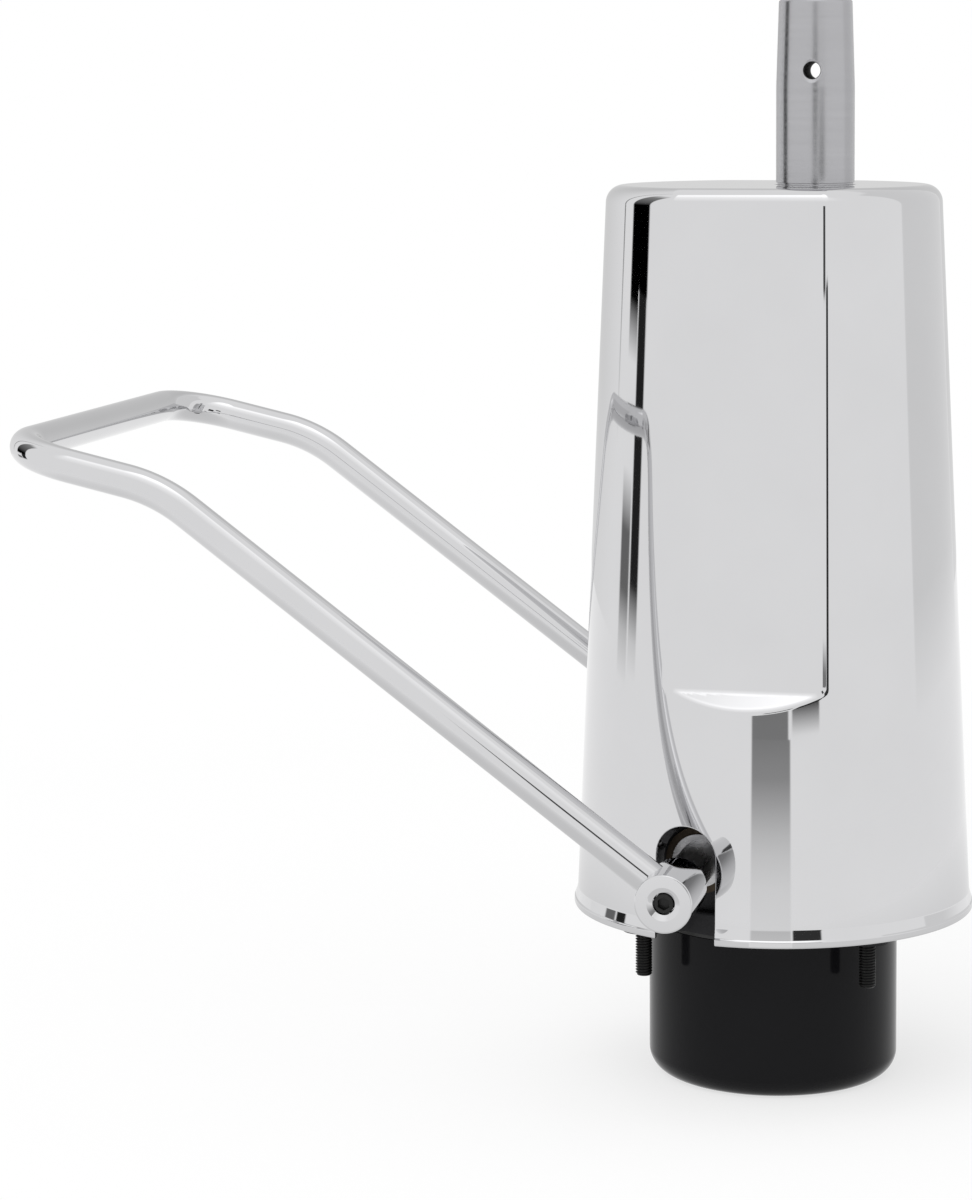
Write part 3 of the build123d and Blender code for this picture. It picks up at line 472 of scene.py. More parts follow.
def make_piece(name, slot, body, patches, *nodes):
    """One object from surface patches in millimetres, for those CAD nodes.

    Each patch is a grid of points with a grid of unit normals. Its cells become quads wound to face along
    the normals. Points that coincide are welded, cells with two coincident corners become triangles, and
    thinner ones are left out. The normals are kept on each corner of each face."""
    corners, facings, offset = [], [], 0
    for points, normals in patches:
        rows, columns = points.shape[:2]
        cells = grid_cells(rows, columns)
        flat, facing = points.reshape(-1, 3), normals.reshape(-1, 3)
        across = np.cross(flat[cells[:, 2]] - flat[cells[:, 0]], flat[cells[:, 3]] - flat[cells[:, 1]])
        if (across * facing[cells].sum(1)).sum() < 0:
            cells = cells[:, ::-1]
        corners.append(cells + offset)
        facings.append(facing[cells])
        offset += rows * columns
    every = np.concatenate([points.reshape(-1, 3) for points, _ in patches])
    cells, facing = np.concatenate(corners), np.concatenate(facings)
    microns = np.round(every * 1000).astype(np.int64)
    _, first, same = np.unique(microns, axis=0, return_index=True, return_inverse=True)
    cells = same.reshape(-1)[cells]
    equal = cells == np.roll(cells, -1, axis=1)
    crossed = (cells[:, 0] == cells[:, 2]) | (cells[:, 1] == cells[:, 3])
    whole = ~equal.any(1) & ~crossed
    single = (equal.sum(1) == 1) & ~crossed
    keep = ~equal[single]
    sides = np.concatenate([np.full(whole.sum(), 4), np.full(single.sum(), 3)])
    loops = np.concatenate([cells[whole].reshape(-1), cells[single][keep]])
    loop_normals = np.concatenate([facing[whole].reshape(-1, 3), facing[single][keep]])
    mesh = bpy.data.meshes.new(name)
    mesh.vertices.add(len(first))
    mesh.vertices.foreach_set("co", (every[first] * MM).reshape(-1))
    mesh.loops.add(len(loops))
    mesh.loops.foreach_set("vertex_index", loops.astype(np.int32))
    mesh.polygons.add(len(sides))
    mesh.polygons.foreach_set("loop_start", np.concatenate([[0], np.cumsum(sides)[:-1]]).astype(np.int32))
    mesh.polygons.foreach_set("loop_total", sides.astype(np.int32))
    mesh.polygons.foreach_set("use_smooth", np.ones(len(sides), bool))
    mesh.update(calc_edges=True)
    mesh.normals_split_custom_set(loop_normals)
    mesh.materials.append(finish(slot))
    made = bpy.data.objects.new(name, mesh)
    bpy.context.scene.collection.objects.link(made)
    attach(made, body)
    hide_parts(*nodes)
    return made


class CoverSettings(bpy.types.PropertyGroup):
    """Sizes of the cover."""

    top_radius: size("Top radius", "Radius of the cone at the roof's height", 60.0)
    roof: size("Roof", "Height of the roof", 264.3)
    draft: angle("Draft", "Slope of the side from upright", 2.47)
    wall: size("Wall", "Sheet thickness", 1.8)
    facet_depth: size("Facet depth", "How far the flat lies inside the cone", 6.2)
    ledge_sum: size("Ledge", "Sum of height and distance out along the sloping ledge", 152.6)
    ledge_round: size("Ledge round", "Radius of the round between ledge and flat", 5.0)
    crease: angle("Crease", "Angle of the crease beside the flat", 24.8)
    crease_width: size("Crease width", "Half width of the soft crease", 1.2)
    shoulder: size("Shoulder", "Outer radius of the shoulder", 6.3)
    shoulder_inside: size("Inner shoulder", "Inner radius of the shoulder", 4.5)
    hole_radius: size("Ram hole", "Radius of the hole for the ram", 14.6)
    rim: size("Rim", "Height of the rim's lower edge", 3.4)
    lip_radius: size("Lip radius", "Outer radius of the rolled lip", 72.3)
    lip_height: size("Lip height", "Height of the lip with its bead", 2.8)
    flare_height: size("Flare", "Height of the flare above the lip", 3.4)
    bead_step: size("Bead step", "How far the bead stands out of the flare", 0.5)
    slot_width: size("Slot width", "Width of the slot for the pivot", 22.0)
    slot_top: size("Slot top", "Height of the slot's round end", 43.7)


class CoverForm:
    """Outer form of the cover on its side towards -Y, or with an inset the form of its hollow."""

    # Share of the crease's width that is softened beside the flat, and what the ledge adds to it.
    FLAT_SOFT, LEDGE_SOFT = 0.47, 0.53

    def __init__(self, s, inset):
        """Works out the straight lines and rounds of the form."""
        self.draft, self.slope = s.draft, math.tan(s.draft)
        self.cone_zero = s.top_radius + s.roof * self.slope - inset / math.cos(s.draft)
        self.flat_zero = self.cone_zero - s.facet_depth
        self.ledge = s.ledge_sum - inset * math.sqrt(2)
        self.roof = s.roof - inset
        self.shoulder = s.shoulder_inside if inset else s.shoulder
        self.round = s.ledge_round + inset
        corner = (self.ledge - self.flat_zero) / (1 - self.slope)
        reach = self.round * math.tan((math.pi / 4 - s.draft) / 2)
        self.round_low = corner - reach / math.sqrt(2)
        self.round_high = corner + reach * math.cos(s.draft)
        self.round_z = self.round_low + self.round / math.sqrt(2)
        self.round_y = self.ledge - self.round_low + self.round / math.sqrt(2)
        self.side_top = self.roof - self.shoulder * (1 - math.sin(s.draft))
        self.crease, self.soft = s.crease, s.crease_width
        heights = np.linspace((self.ledge - self.cone_zero) / (1 - self.slope), self.round_high, 400)
        self.arc_heights, self.arc_angles = heights, self.crease_at(heights)

    def cone(self, z):
        """Radius of the cone."""
        return self.cone_zero - self.slope * z

    def flat(self, z):
        """Distance of the ledge, the round and the flat from the axis."""
        bowl = self.round_y - np.sqrt(np.maximum(self.round**2 - (z - self.round_z) ** 2, 0))
        upper = np.where(z < self.round_high, bowl, self.flat_zero - self.slope * z)
        return np.where(z < self.round_low, self.ledge - z, upper)

    def crease_at(self, z):
        """Angle at which flat and cone meet."""
        return np.arccos(np.clip(self.flat(z) / self.cone(z), -1, 1))

    def least(self, cone, flat, turn, soft):
        """The smaller of cone and flat / cos(turn), with a parabola in place of their crease."""
        plane = flat / np.maximum(np.cos(turn), 1e-3)
        near = np.maximum(soft - np.abs(cone - plane), 0) / soft
        return np.minimum(cone, plane) - near**2 * soft / 4

    def side(self, turn, z):
        """Point of the side: radius (sin turn, -cos turn) at height z, where the radius is the softened
        least of the cone and the flat."""
        mix = smooth_step((self.round_high - z) / (self.round_high - self.round_low))
        soft = self.soft * (self.FLAT_SOFT + self.LEDGE_SOFT * mix)
        radius = self.least(self.cone(z), self.flat(z), turn, soft)
        return joined(radius * np.sin(turn), -radius * np.cos(turn), z)

    def shoulder_cut(self, lean):
        """How far the shoulder has come in where its normal leans by that angle from level."""
        return self.shoulder * (math.cos(self.draft) - np.cos(lean))

    def shoulder_side(self, turn, lean):
        """Point of the shoulder: cone and flat both come in by the round as it leans from the side's slope
        to level."""
        cut = self.shoulder_cut(lean)
        radius = self.least(
            self.cone(self.side_top) - cut, self.flat(self.side_top) - cut, turn, self.soft * self.FLAT_SOFT
        )
        height = self.roof - self.shoulder * (1 - np.sin(lean))
        return joined(radius * np.sin(turn), -radius * np.cos(turn), height)

    def spread(self, columns, crease):
        """Angles of the columns, drawn so that the crease columns lie on the crease."""
        quarter = math.pi / 2
        outside = crease + (np.abs(columns) - self.crease) * (quarter - crease) / (quarter - self.crease)
        inside = np.abs(columns) * crease / self.crease
        return np.sign(columns) * np.where(np.abs(columns) <= self.crease, inside, outside)

    def turns_at(self, columns, z):
        """Angles of the columns at heights of the side."""
        return self.spread(columns, self.crease_at(np.maximum(z, self.round_high)))

    def arc_height(self, columns):
        """Height at which each column meets the ledge's upper edge of the cone."""
        turn = np.abs(self.turns_at(columns, np.zeros_like(columns)))
        return np.interp(turn, self.arc_angles, self.arc_heights)


# The mesh of the cover's side: rows beside the slot's frame, the frame's top in millimetres and its sides in
# degrees, and the rings' shares of the way from the slot's edge to that frame.
SIDE_ROWS = 10
FRAME_TOP = 58.0
FRAME_SIDES = (-36, 3)
RING_PARTS = np.array([0, 0.06, 0.18, 0.35, 0.55, 0.78, 1])
# In millimetres: how far the flare runs into the cone, where the even rows of the flat begin, and the rounds
# of the sheet's outer and inner edge at the slot and at the ram's hole.
FLARE_BLEND = 1.7
FLAT_START = 99.0
SLOT_ROUNDS = (0.45, 0.3)
HOLE_ROUNDS = (0.3, 0.2)


def cover_columns(crease):
    """Column angles of half the cover: close together at the creases."""
    fine = np.radians([-3, -2.2, -1.6, -1.1, -0.75, -0.4, 0, 0.4, 0.75, 1.1, 1.6, 2.2, 3]) + crease
    arc = np.linspace(fine[-1], math.pi / 2, 27)[1:]
    middle = np.linspace(-fine[0], fine[0], 31)[1:-1]
    right = np.concatenate([fine, arc])
    return np.concatenate([-right[::-1], middle, right])


def slot_line(s, columns, left, right, low, high):
    """The slot's outline from its left foot round the top to its right foot, beside the frame of the mesh
    round it: slot points, directions into the sheet, and frame angles and heights."""
    half = s.slot_width / 2
    centre_z = s.slot_top - half
    side_rows = np.linspace(low, high, SIDE_ROWS)
    corner_rows = 6
    straight_rows = SIDE_ROWS - corner_rows
    straight = np.linspace(low, centre_z, straight_rows + 1)[:-1]
    part = (columns[left:right + 1] - columns[left]) / (columns[right] - columns[left])
    turn = np.radians(np.concatenate([
        np.linspace(180, 135, corner_rows), 135 - 90 * part[1:-1], np.linspace(45, 0, corner_rows)
    ]))
    cos, sin = np.cos(turn), np.sin(turn)
    still = np.ones(straight_rows)
    into = np.stack([np.concatenate([-still, cos, still]), np.concatenate([0 * still, sin, 0 * still])], -1)
    x = PIVOT_X + half * into[:, 0]
    z = np.concatenate([straight, centre_z + half * sin, straight[::-1]])
    frame_columns = np.concatenate([
        np.full(SIDE_ROWS, columns[left]), columns[left + 1:right], np.full(SIDE_ROWS, columns[right])
    ])
    frame_z = np.concatenate([side_rows, np.full(right - left - 1, high), side_rows[::-1]])
    return x, z, into, frame_columns, frame_z


def cover_side_patches(s, form, sign, edge, lip):
    """Patches of one face of half the cover, outer or inner; along the slot its edge, its corner before the
    edge is rounded, the face's normals and the ways into the sheet; and the angles of the lip's columns."""
    lip_points, lip_normals = lip
    low, high = lip_points[-1, 1], FRAME_TOP
    columns = cover_columns(s.crease)
    left, right = (int(np.argmin(np.abs(columns - math.radians(side)))) for side in FRAME_SIDES)
    x, z, into, frame_columns, frame_z = slot_line(s, columns, left, right, low, high)
    slant = np.array([math.cos(form.draft), math.sin(form.draft)]) * sign

    def outward(points):
        return (points - np.array([0, 0, 100.0])) * sign

    def side_patch(turn, height):
        return surface(form.side, turn, height, outward)

    edge_x, edge_z = x + edge * into[:, 0], z + edge * into[:, 1]
    edge_turn = np.arcsin(edge_x / form.cone(edge_z))
    frame_turn = form.turns_at(frame_columns, frame_z)
    part = RING_PARTS[:, None]
    ring_turn = edge_turn + part * (frame_turn - edge_turn)
    ring_z = edge_z + part * (frame_z - edge_z)
    patches = [side_patch(ring_turn, ring_z)]

    rows = np.linspace(low, high, SIDE_ROWS)[:, None]
    for some in (columns[:left + 1], columns[right:]):
        heights = rows + 0 * some[None]
        patches.append(side_patch(form.turns_at(some[None] + 0 * rows, heights), heights))

    lip_radius, lip_z = lip_points[:, :1], lip_points[:, 1:]
    lip_turns = []
    for some, foot, side in ((columns[:left + 1], x[0] - edge, -1), (columns[right:], x[-1] + edge, 1)):
        regular = form.turns_at(some, np.zeros_like(some))
        end = regular[-1] if side < 0 else regular[0]
        foot_turn = np.arcsin(foot / lip_radius)
        parts = RING_PARTS[None]
        extra = foot_turn + (parts[:, ::-1] if side < 0 else parts) * (end - foot_turn)
        wide = regular[None] + 0 * lip_radius
        turn = np.concatenate([wide, extra[:, 1:]] if side < 0 else [extra[:, :-1], wide], 1)
        place = joined(lip_radius * np.sin(turn), -lip_radius * np.cos(turn), lip_z)
        facing = joined(
            lip_normals[:, :1] * np.sin(turn), -lip_normals[:, :1] * np.cos(turn), lip_normals[:, 1:]
        )
        patches.append((place, facing))
        lip_turns.append(turn)

    arc = form.arc_height(columns)
    under = np.array([26.9, 22, 17, 12, 8, 5, 3, 2.2, 1.6, 1.2, 0.8, 0.4, 0])[:, None]
    over = np.concatenate([
        [0, 0.4, 0.8, 1.2, 1.6, 2.2, 3, 4], np.arange(4.6, 10.7, 0.6), [12, 14.1]
    ])[:, None]
    below, above = 1 - under / under[0], over / over[-1]
    ledge_z = np.concatenate([high + (arc - high) * below, (arc + (FLAT_START - arc) * above)[1:]])
    tall = np.linspace(FLAT_START, form.side_top, 13)[1:, None] + 0 * columns[None]
    heights = np.concatenate([ledge_z, tall])
    patches.append(side_patch(form.turns_at(columns[None] + 0 * heights, heights), heights))

    lean = np.linspace(form.draft, math.pi / 2, 15)[:, None]
    cut = form.shoulder_cut(lean)
    crease = np.arccos((form.flat(form.side_top) - cut) / (form.cone(form.side_top) - cut))
    turn = form.spread(columns[None] + 0 * lean, crease + 0 * columns[None])
    patches.append(surface(form.shoulder_side, turn, lean + 0 * turn, outward))
    brow = patches[-1][0][-1]
    hole = s.hole_radius + HOLE_ROUNDS[0 if sign > 0 else 1]
    hole_edge = joined(RAM_OFFSET + hole * np.sin(columns), -hole * np.cos(columns), form.roof)
    patches.append(flat_patch(between(brow, hole_edge, [0, 0.3, 0.6, 0.85, 1]), (0, 0, sign)))

    foot_radius = lip_points[:, 0]
    lip_count = len(foot_radius)
    sides = []
    for foot_x, way, order in ((x[0], -1, slice(None, -1)), (x[-1], 1, slice(-2, None, -1))):
        radius, height, facing = foot_radius[order], lip_points[order, 1], lip_normals[order]
        edge_here = foot_x + way * edge
        at = np.arcsin(edge_here / radius)
        sides.append((
            joined(edge_here, -np.sqrt(radius**2 - edge_here**2), height),
            joined(foot_x, -np.sqrt(radius**2 - foot_x**2), height),
            joined(facing[:, 0] * np.sin(at), -facing[:, 0] * np.cos(at), facing[:, 1]),
            np.tile([float(way), 0.0], (lip_count - 1, 1)),
        ))
    middle = (
        form.side(edge_turn, edge_z),
        joined(x, -np.sqrt(form.cone(z) ** 2 - x**2), z),
        joined(slant[0] * np.sin(edge_turn), -slant[0] * np.cos(edge_turn), slant[1]),
        into,
    )
    border = [np.concatenate(group) for group in zip(sides[0], middle, sides[1])]
    return patches, border, lip_turns


def cover_patches(s):
    """All patches of the cover: the outer and inner face of the half towards -Y, the slot's wall between
    them, the rim's lower edge and the wall of the ram's hole, then their mirror images."""
    outer, inner = CoverForm(s, 0.0), CoverForm(s, s.wall)
    lip_top = s.rim + s.lip_height
    flare = lip_top + s.flare_height
    low = flare + FLARE_BLEND
    rim_face = 0.95
    lip = rounded_line(
        [
            (s.lip_radius - rim_face, s.rim), (s.lip_radius, s.rim), (s.lip_radius, lip_top - s.bead_step),
            (s.lip_radius - s.bead_step, lip_top), (float(outer.cone(flare)), flare),
            (float(outer.cone(low)), low),
        ],
        [0.7, 0.4, 0.3, 3.0],
    )
    heights = np.linspace(s.rim, low, len(lip[0]))
    lip_inside = (
        np.stack([inner.cone(heights), heights], -1),
        np.tile([-math.cos(s.draft), -math.sin(s.draft)], (len(heights), 1)),
    )
    round_out, round_in = SLOT_ROUNDS
    patches, (rim_out, corner_out, normal_out, into), turns_out = cover_side_patches(
        s, outer, 1, round_out, lip
    )
    more, (rim_in, corner_in, normal_in, _), turns_in = cover_side_patches(s, inner, -1, round_in, lip_inside)
    patches += more

    through = unit(corner_in - corner_out)
    lean = np.radians(np.linspace(0, 90, 6))
    wall_normal = joined(-into[:, 0], 0, -into[:, 1])
    strip_points, strip_normals = [], []
    for rim, corner, normal, reach, leans in (
        (rim_out, corner_out, normal_out, round_out, lean),
        (rim_in, corner_in, normal_in, -round_in, lean[::-1]),
    ):
        sin, cos = np.sin(leans)[:, None, None], np.cos(leans)[:, None, None]
        strip_points.append(corner + (rim - corner) * (1 - sin) + through * reach * (1 - cos))
        strip_normals.append(unit(normal * cos + wall_normal * sin))
    strip = np.concatenate(strip_points)
    patches.append((strip, np.concatenate(strip_normals)))

    count = len(strip)
    share = np.linspace(0, 1, count)[:, None]
    for side, end in ((0, strip[:, 0]), (1, strip[:, -1])):
        out_turn, in_turn = turns_out[side][0], turns_in[side][0]
        end_radius = np.hypot(end[:, 0], end[:, 1])[:, None]
        end_turn = np.arcsin(end[:, :1] / end_radius)
        parts, rings = RING_PARTS[None], len(RING_PARTS) - 1
        own = slice(None, -rings) if side == 0 else slice(rings, None)
        regular = out_turn[own] + (in_turn[own] - out_turn[own]) * share
        border = regular[:, -1:] if side == 0 else regular[:, :1]
        outer_radius, inner_radius = lip[0][0, 0], lip_inside[0][0, 0]
        plain = outer_radius + (inner_radius - outer_radius) * share
        parts = parts[:, ::-1] if side == 0 else parts
        extra_turn = end_turn + parts * (border - end_turn)
        extra_radius = end_radius + parts * (plain - end_radius)
        wide = plain + 0 * regular
        if side == 0:
            turn = np.concatenate([regular, extra_turn[:, 1:]], 1)
            radius = np.concatenate([wide, extra_radius[:, 1:]], 1)
        else:
            turn = np.concatenate([extra_turn[:, :-1], regular], 1)
            radius = np.concatenate([extra_radius[:, :-1], wide], 1)
        patches.append(flat_patch(joined(radius * np.sin(turn), -radius * np.cos(turn), s.rim), (0, 0, -1)))

    hole = rounded_line(
        [
            (s.hole_radius + HOLE_ROUNDS[0], s.roof), (s.hole_radius, s.roof),
            (s.hole_radius, s.roof - s.wall), (s.hole_radius + HOLE_ROUNDS[1], s.roof - s.wall),
        ],
        HOLE_ROUNDS,
    )
    patches.append(lathe(hole, cover_columns(s.crease), (RAM_OFFSET, 0, 0)))
    return mirrored(patches)


class PUMP_OT_cover(bpy.types.Operator):
    """Build the tapered cover with its flats, ledges, slots and lip."""

    bl_idname = "pump.cover"
    bl_label = "Build the cover"

    def execute(self, context):
        """Builds the cover from its settings."""
        make_piece(
            "cover_shell", "chrome", "pump_body", cover_patches(measures(context.scene.pump_cover)), "cover"
        )
        return {"FINISHED"}


class RamSettings(bpy.types.PropertyGroup):
    """Sizes of the ram."""

    offset: size("Offset", "Distance of the ram from the flange's centre", RAM_OFFSET)
    radius: size("Radius", "Radius of the free end", 14.0)
    guide_radius: size("Guide radius", "Radius of the guided length", 14.1)
    top: size("Top", "Height of the top", 330.0)
    taper_start: size("Taper start", "Height where the taper begins", 299.3)
    taper_radius: size("Taper radius", "Radius at the top of the taper", 13.07)
    top_round: size("Top round", "Radius of the top's edge", 0.95)
    hole_height: size("Hole height", "Height of the cross hole", 304.9)
    hole_radius: size("Hole radius", "Radius of the cross hole", 3.0)
    mouth_radius: size("Mouth radius", "Radius of the countersink at the ram's radius", 4.5)
    turn: angle("Turn", "Turn of the cross hole about the ram", 3.0)


def ram_patches(s):
    """Patches of the ram: a turned bar, and a band in which each half has a countersunk hole. The countersink
    is a cone whose radius grows by tan 60 degrees per distance along the hole."""
    slope = (s.radius - s.taper_radius) / (s.top - s.taper_start)
    grow, softness = math.sqrt(3), 0.36

    def radius_at(z):
        t = z - s.taper_start
        return s.radius - slope * (t + np.sqrt(t * t + softness)) / 2

    low, high, wide, steps = 296.0, 314.0, math.radians(36), 20
    columns = turned(100)
    centre = (s.offset, 0, 0)
    around = np.array([
        [math.sin(s.turn), -math.cos(s.turn), 0], [math.cos(s.turn), math.sin(s.turn), 0], [0, 0, 1]
    ])
    end, clip_low, clip_high, shoulder, witness_low, witness_high = -21.3, -20.25, -19.05, -3.5, 264.4, 265.0
    spigot, clip, witness = 8, 7.2, 13.5
    foot = rounded_line(
        [
            (0, end), (spigot, end), (spigot, clip_low), (clip, clip_low), (clip, clip_high),
            (spigot, clip_high), (spigot, shoulder), (s.guide_radius, shoulder),
            (s.guide_radius, witness_low), (witness, witness_low), (witness, witness_high),
            (s.radius, witness_high), (float(radius_at(low)), low),
        ],
        [0.4, 0, 0, 0, 0, 0, 0.6, 0.1, 0.1, 0.1, 0.1],
    )
    head = rounded_line(
        [(float(radius_at(high)), high), (float(radius_at(s.top)), s.top), (0, s.top)], [s.top_round], 8
    )
    patches = [lathe(foot, columns, centre, around), lathe(head, columns, centre, around)]

    def skin(turn, z):
        radius = radius_at(z)
        return joined(radius * np.cos(turn), radius * np.sin(turn), z)

    def outward(points):
        return points * np.array([1, 1, 0])

    rows = np.linspace(low, high, steps + 1)[:, None]
    side = np.linspace(wide, math.pi / 2, 16)[None]
    own = [surface(skin, turn + 0 * rows, rows + 0 * turn, outward) for turn in (side, -side)]
    across, up = np.linspace(-wide, wide, steps + 1), np.linspace(low, high, steps + 1)
    frame_turn = np.concatenate([across, np.full(steps, wide), across[::-1][1:], np.full(steps, -wide)])
    frame_z = np.concatenate([np.full(steps + 1, low), up[1:], np.full(steps, high), up[::-1][1:]])
    way = np.arctan2(frame_z - s.hole_height, s.radius * frame_turn)
    reach = np.full_like(way, s.hole_radius + 1)
    for _ in range(20):
        depth = np.sqrt(radius_at(s.hole_height + reach * np.sin(way)) ** 2 - (reach * np.cos(way)) ** 2)
        reach = s.mouth_radius - grow * (s.radius - depth)
    mouth_z = s.hole_height + reach * np.sin(way)
    mouth_turn = np.arctan2(reach * np.cos(way), depth)
    part = np.array([0, 0.05, 0.15, 0.3, 0.5, 0.75, 1])[:, None]
    own.append(surface(
        skin, mouth_turn + part * (frame_turn - mouth_turn), mouth_z + part * (frame_z - mouth_z), outward
    ))
    bore_depth = s.radius - (s.mouth_radius - s.hole_radius) / grow
    share = np.linspace(0, 1, 5)[:, None]
    cone_reach = reach + share * (s.hole_radius - reach)
    cone_depth = depth + share * (bore_depth - depth)
    own.append((
        joined(cone_depth, cone_reach * np.cos(way), s.hole_height + cone_reach * np.sin(way)),
        joined(math.sqrt(0.75) + 0 * cone_depth, -0.5 * np.cos(way), -0.5 * np.sin(way)),
    ))
    bore = bore_depth * (1 - share)
    own.append((
        joined(bore, s.hole_radius * np.cos(way), s.hole_height + s.hole_radius * np.sin(way)),
        joined(0 * bore, -np.cos(way), -np.sin(way)),
    ))
    for half in (1, -1):
        axes = around * np.array([[half], [half], [1]])
        patches += [(points @ axes + np.array(centre), normals @ axes) for points, normals in own]
    return patches


class PUMP_OT_ram(bpy.types.Operator):
    """Build the ram with its taper and countersunk cross hole."""

    bl_idname = "pump.ram"
    bl_label = "Build the ram"

    def execute(self, context):
        """Builds the ram from its settings."""
        make_piece("ram_bar", "ram_steel", "ram_set", ram_patches(measures(context.scene.pump_ram)), "ram")
        return {"FINISHED"}


class PedalSettings(bpy.types.PropertyGroup):
    """Sizes of the foot bar, its hubs and the pivot shaft."""

    pivot_x: size("Pivot X", "Place of the pivot across", PIVOT_X)
    pivot_z: size("Pivot Z", "Height of the pivot", 26.0)
    rod_radius: size("Rod radius", "Radius of the foot bar's rod", 6.0)
    spacing: size("Spacing", "Distance between the middles of the arms", 187.0)
    start: size("Start", "Distance from the pivot to the rod's end inside the hub", 8.0)
    arm_angle: angle("Arm angle", "Rise of the arms", 36.6)
    arm_length: size("Arm length", "From the pivot to the bend", 225.4)
    tread_angle: angle("Tread angle", "Rise of the tread", 12.9)
    tread_length: size("Tread length", "From the bend to the crossbar", 57.8)
    bend_radius: size("Bend radius", "Radius of the bend", 60.0)
    corner_radius: size("Corner radius", "Radius of the corners", 24.0)
    hub_radius: size("Hub radius", "Outer radius of the hubs", 10.0)
    hub_start: size("Hub start", "Distance of the hub's inner end from the middle", 79.5)
    hub_end: size("Hub end", "Distance of the hub's outer end from the middle", 107.5)
    shaft_radius: size("Shaft radius", "Radius of the pivot shaft", 7.0)
    shaft_end: size("Shaft end", "Distance of the shaft's end from the middle", 100.2)
    sink_radius: size("Recess radius", "Radius of the screw's recess", 3.8)
    mouth_radius: size("Recess mouth", "Radius of the recess's countersunk mouth", 5.7)
    mouth_depth: size("Mouth depth", "Depth of the countersunk mouth", 1.3)
    sink_depth: size("Recess depth", "Depth of the screw's recess", 5.0)
    screw_head_radius: size("Screw head radius", "Radius of the screw's head", 3.45)
    screw_head_height: size("Screw head height", "Height of the screw's head", 3.8)
    screw_radius: size("Screw radius", "Radius of the screw", 2.0)
    socket_across: size("Socket", "Width of the screw's hexagon socket", 4.0)
    socket_depth: size("Socket depth", "Depth of the screw's hexagon socket", 2.2)


def foot_bar_patches(s):
    """Half the foot bar, a circle carried along a path that rises by an angle a and then heads round by an
    angle h: direction cos h (-cos a, 0, sin a) + sin h (0, 1, 0), upper side (sin a, 0, cos a). The other
    half is its mirror image."""
    a, b, bend, corner = s.arm_angle, s.tread_angle, s.bend_radius, s.corner_radius
    reach = bend * math.tan((a - b) / 2)
    rises = np.linspace(a, b, 18)
    arm_x = s.pivot_x - (s.arm_length - reach) * math.cos(a)
    arm_z = s.pivot_z + (s.arm_length - reach) * math.sin(a)
    bend_x = arm_x + bend * (np.sin(rises) - math.sin(a))
    bend_z = arm_z + bend * (np.cos(rises) - math.cos(a))
    tread = s.tread_length - reach - corner
    heads = np.linspace(0, math.pi / 2, 26)
    corner_x = bend_x[-1] - (tread + corner * np.sin(heads)) * math.cos(b)
    corner_z = bend_z[-1] + (tread + corner * np.sin(heads)) * math.sin(b)
    y = -s.spacing / 2
    path = np.concatenate([
        [[s.pivot_x - s.start * math.cos(a), y, s.pivot_z + s.start * math.sin(a)]],
        joined(bend_x, y, bend_z),
        joined(corner_x, y + corner * (1 - np.cos(heads)), corner_z),
        [[corner_x[-1], 0, corner_z[-1]]],
    ])
    rise = np.concatenate([[a], rises, np.full(27, b)])
    head = np.concatenate([np.zeros(19), heads, [math.pi / 2]])
    ahead = joined(-np.cos(head) * np.cos(rise), np.sin(head), np.cos(head) * np.sin(rise))
    above = joined(np.sin(rise), 0, np.cos(rise))
    aside = np.cross(ahead, above)
    turn = turned(64)[None, :, None]
    normals = np.cos(turn) * above[:, None] + np.sin(turn) * aside[:, None]
    points = path[:, None] + s.rod_radius * normals
    cap = between(points[0], np.broadcast_to(path[0], points[0].shape), [0, 1])
    return mirrored([(points, normals), flat_patch(cap, -ahead[0])])


def pivot_axes(side):
    """Axes of a piece turned about the pivot, its length counted outward on that side."""
    return np.array([[1, 0, 0], [0, 0, -side], [0, side, 0]], float)


def hexagon(across, columns):
    """Radius of a hexagon with flats that far apart, at angles measured from the middle of a flat."""
    third = math.pi / 3
    return across / 2 / np.cos((columns + third / 2) % third - third / 2)


def hexagon_walls(across, start, end, centre, axes, sign, cells):
    """The six flat sides of a hexagonal bar, or with sign -1 of a socket, between two heights, each in that
    many cells."""
    patches = []
    for flat in range(6):
        middle = flat * math.pi / 3
        angles = middle + np.linspace(-math.pi / 6, math.pi / 6, cells + 1)
        rim = ring_of(angles, axes) * hexagon(across, angles)[:, None] + np.array(centre, float)
        facing = sign * (math.cos(middle) * axes[0] + math.sin(middle) * axes[1])
        patches.append(flat_patch(np.stack([rim + start * axes[2], rim + end * axes[2]]), facing))
    return patches


def hub_patches(s, side):
    """A hub turned from bar: rounded ends, a bore for the shaft, a screw hole and a recess with a chamfered
    mouth."""
    shaft_gap, screw_gap, seam = 0.02, 0.05, 8.5
    bore, hole, floor = s.shaft_radius + shaft_gap, s.screw_radius + screw_gap, s.hub_end - s.sink_depth
    profile = rounded_line(
        [
            (seam, s.hub_start), (s.hub_radius, s.hub_start), (s.hub_radius, s.hub_end),
            (s.mouth_radius, s.hub_end), (s.sink_radius, s.hub_end - s.mouth_depth), (s.sink_radius, floor),
            (hole, floor), (hole, s.shaft_end), (bore, s.shaft_end), (bore, s.hub_start), (seam, s.hub_start),
        ],
        [0.6, 0.65, 0.12, 0.2, 0.2, 0.1, 0.1, 0, 0.4],
    )
    return [lathe(profile, turned(96), (s.pivot_x, 0, s.pivot_z), pivot_axes(side))]


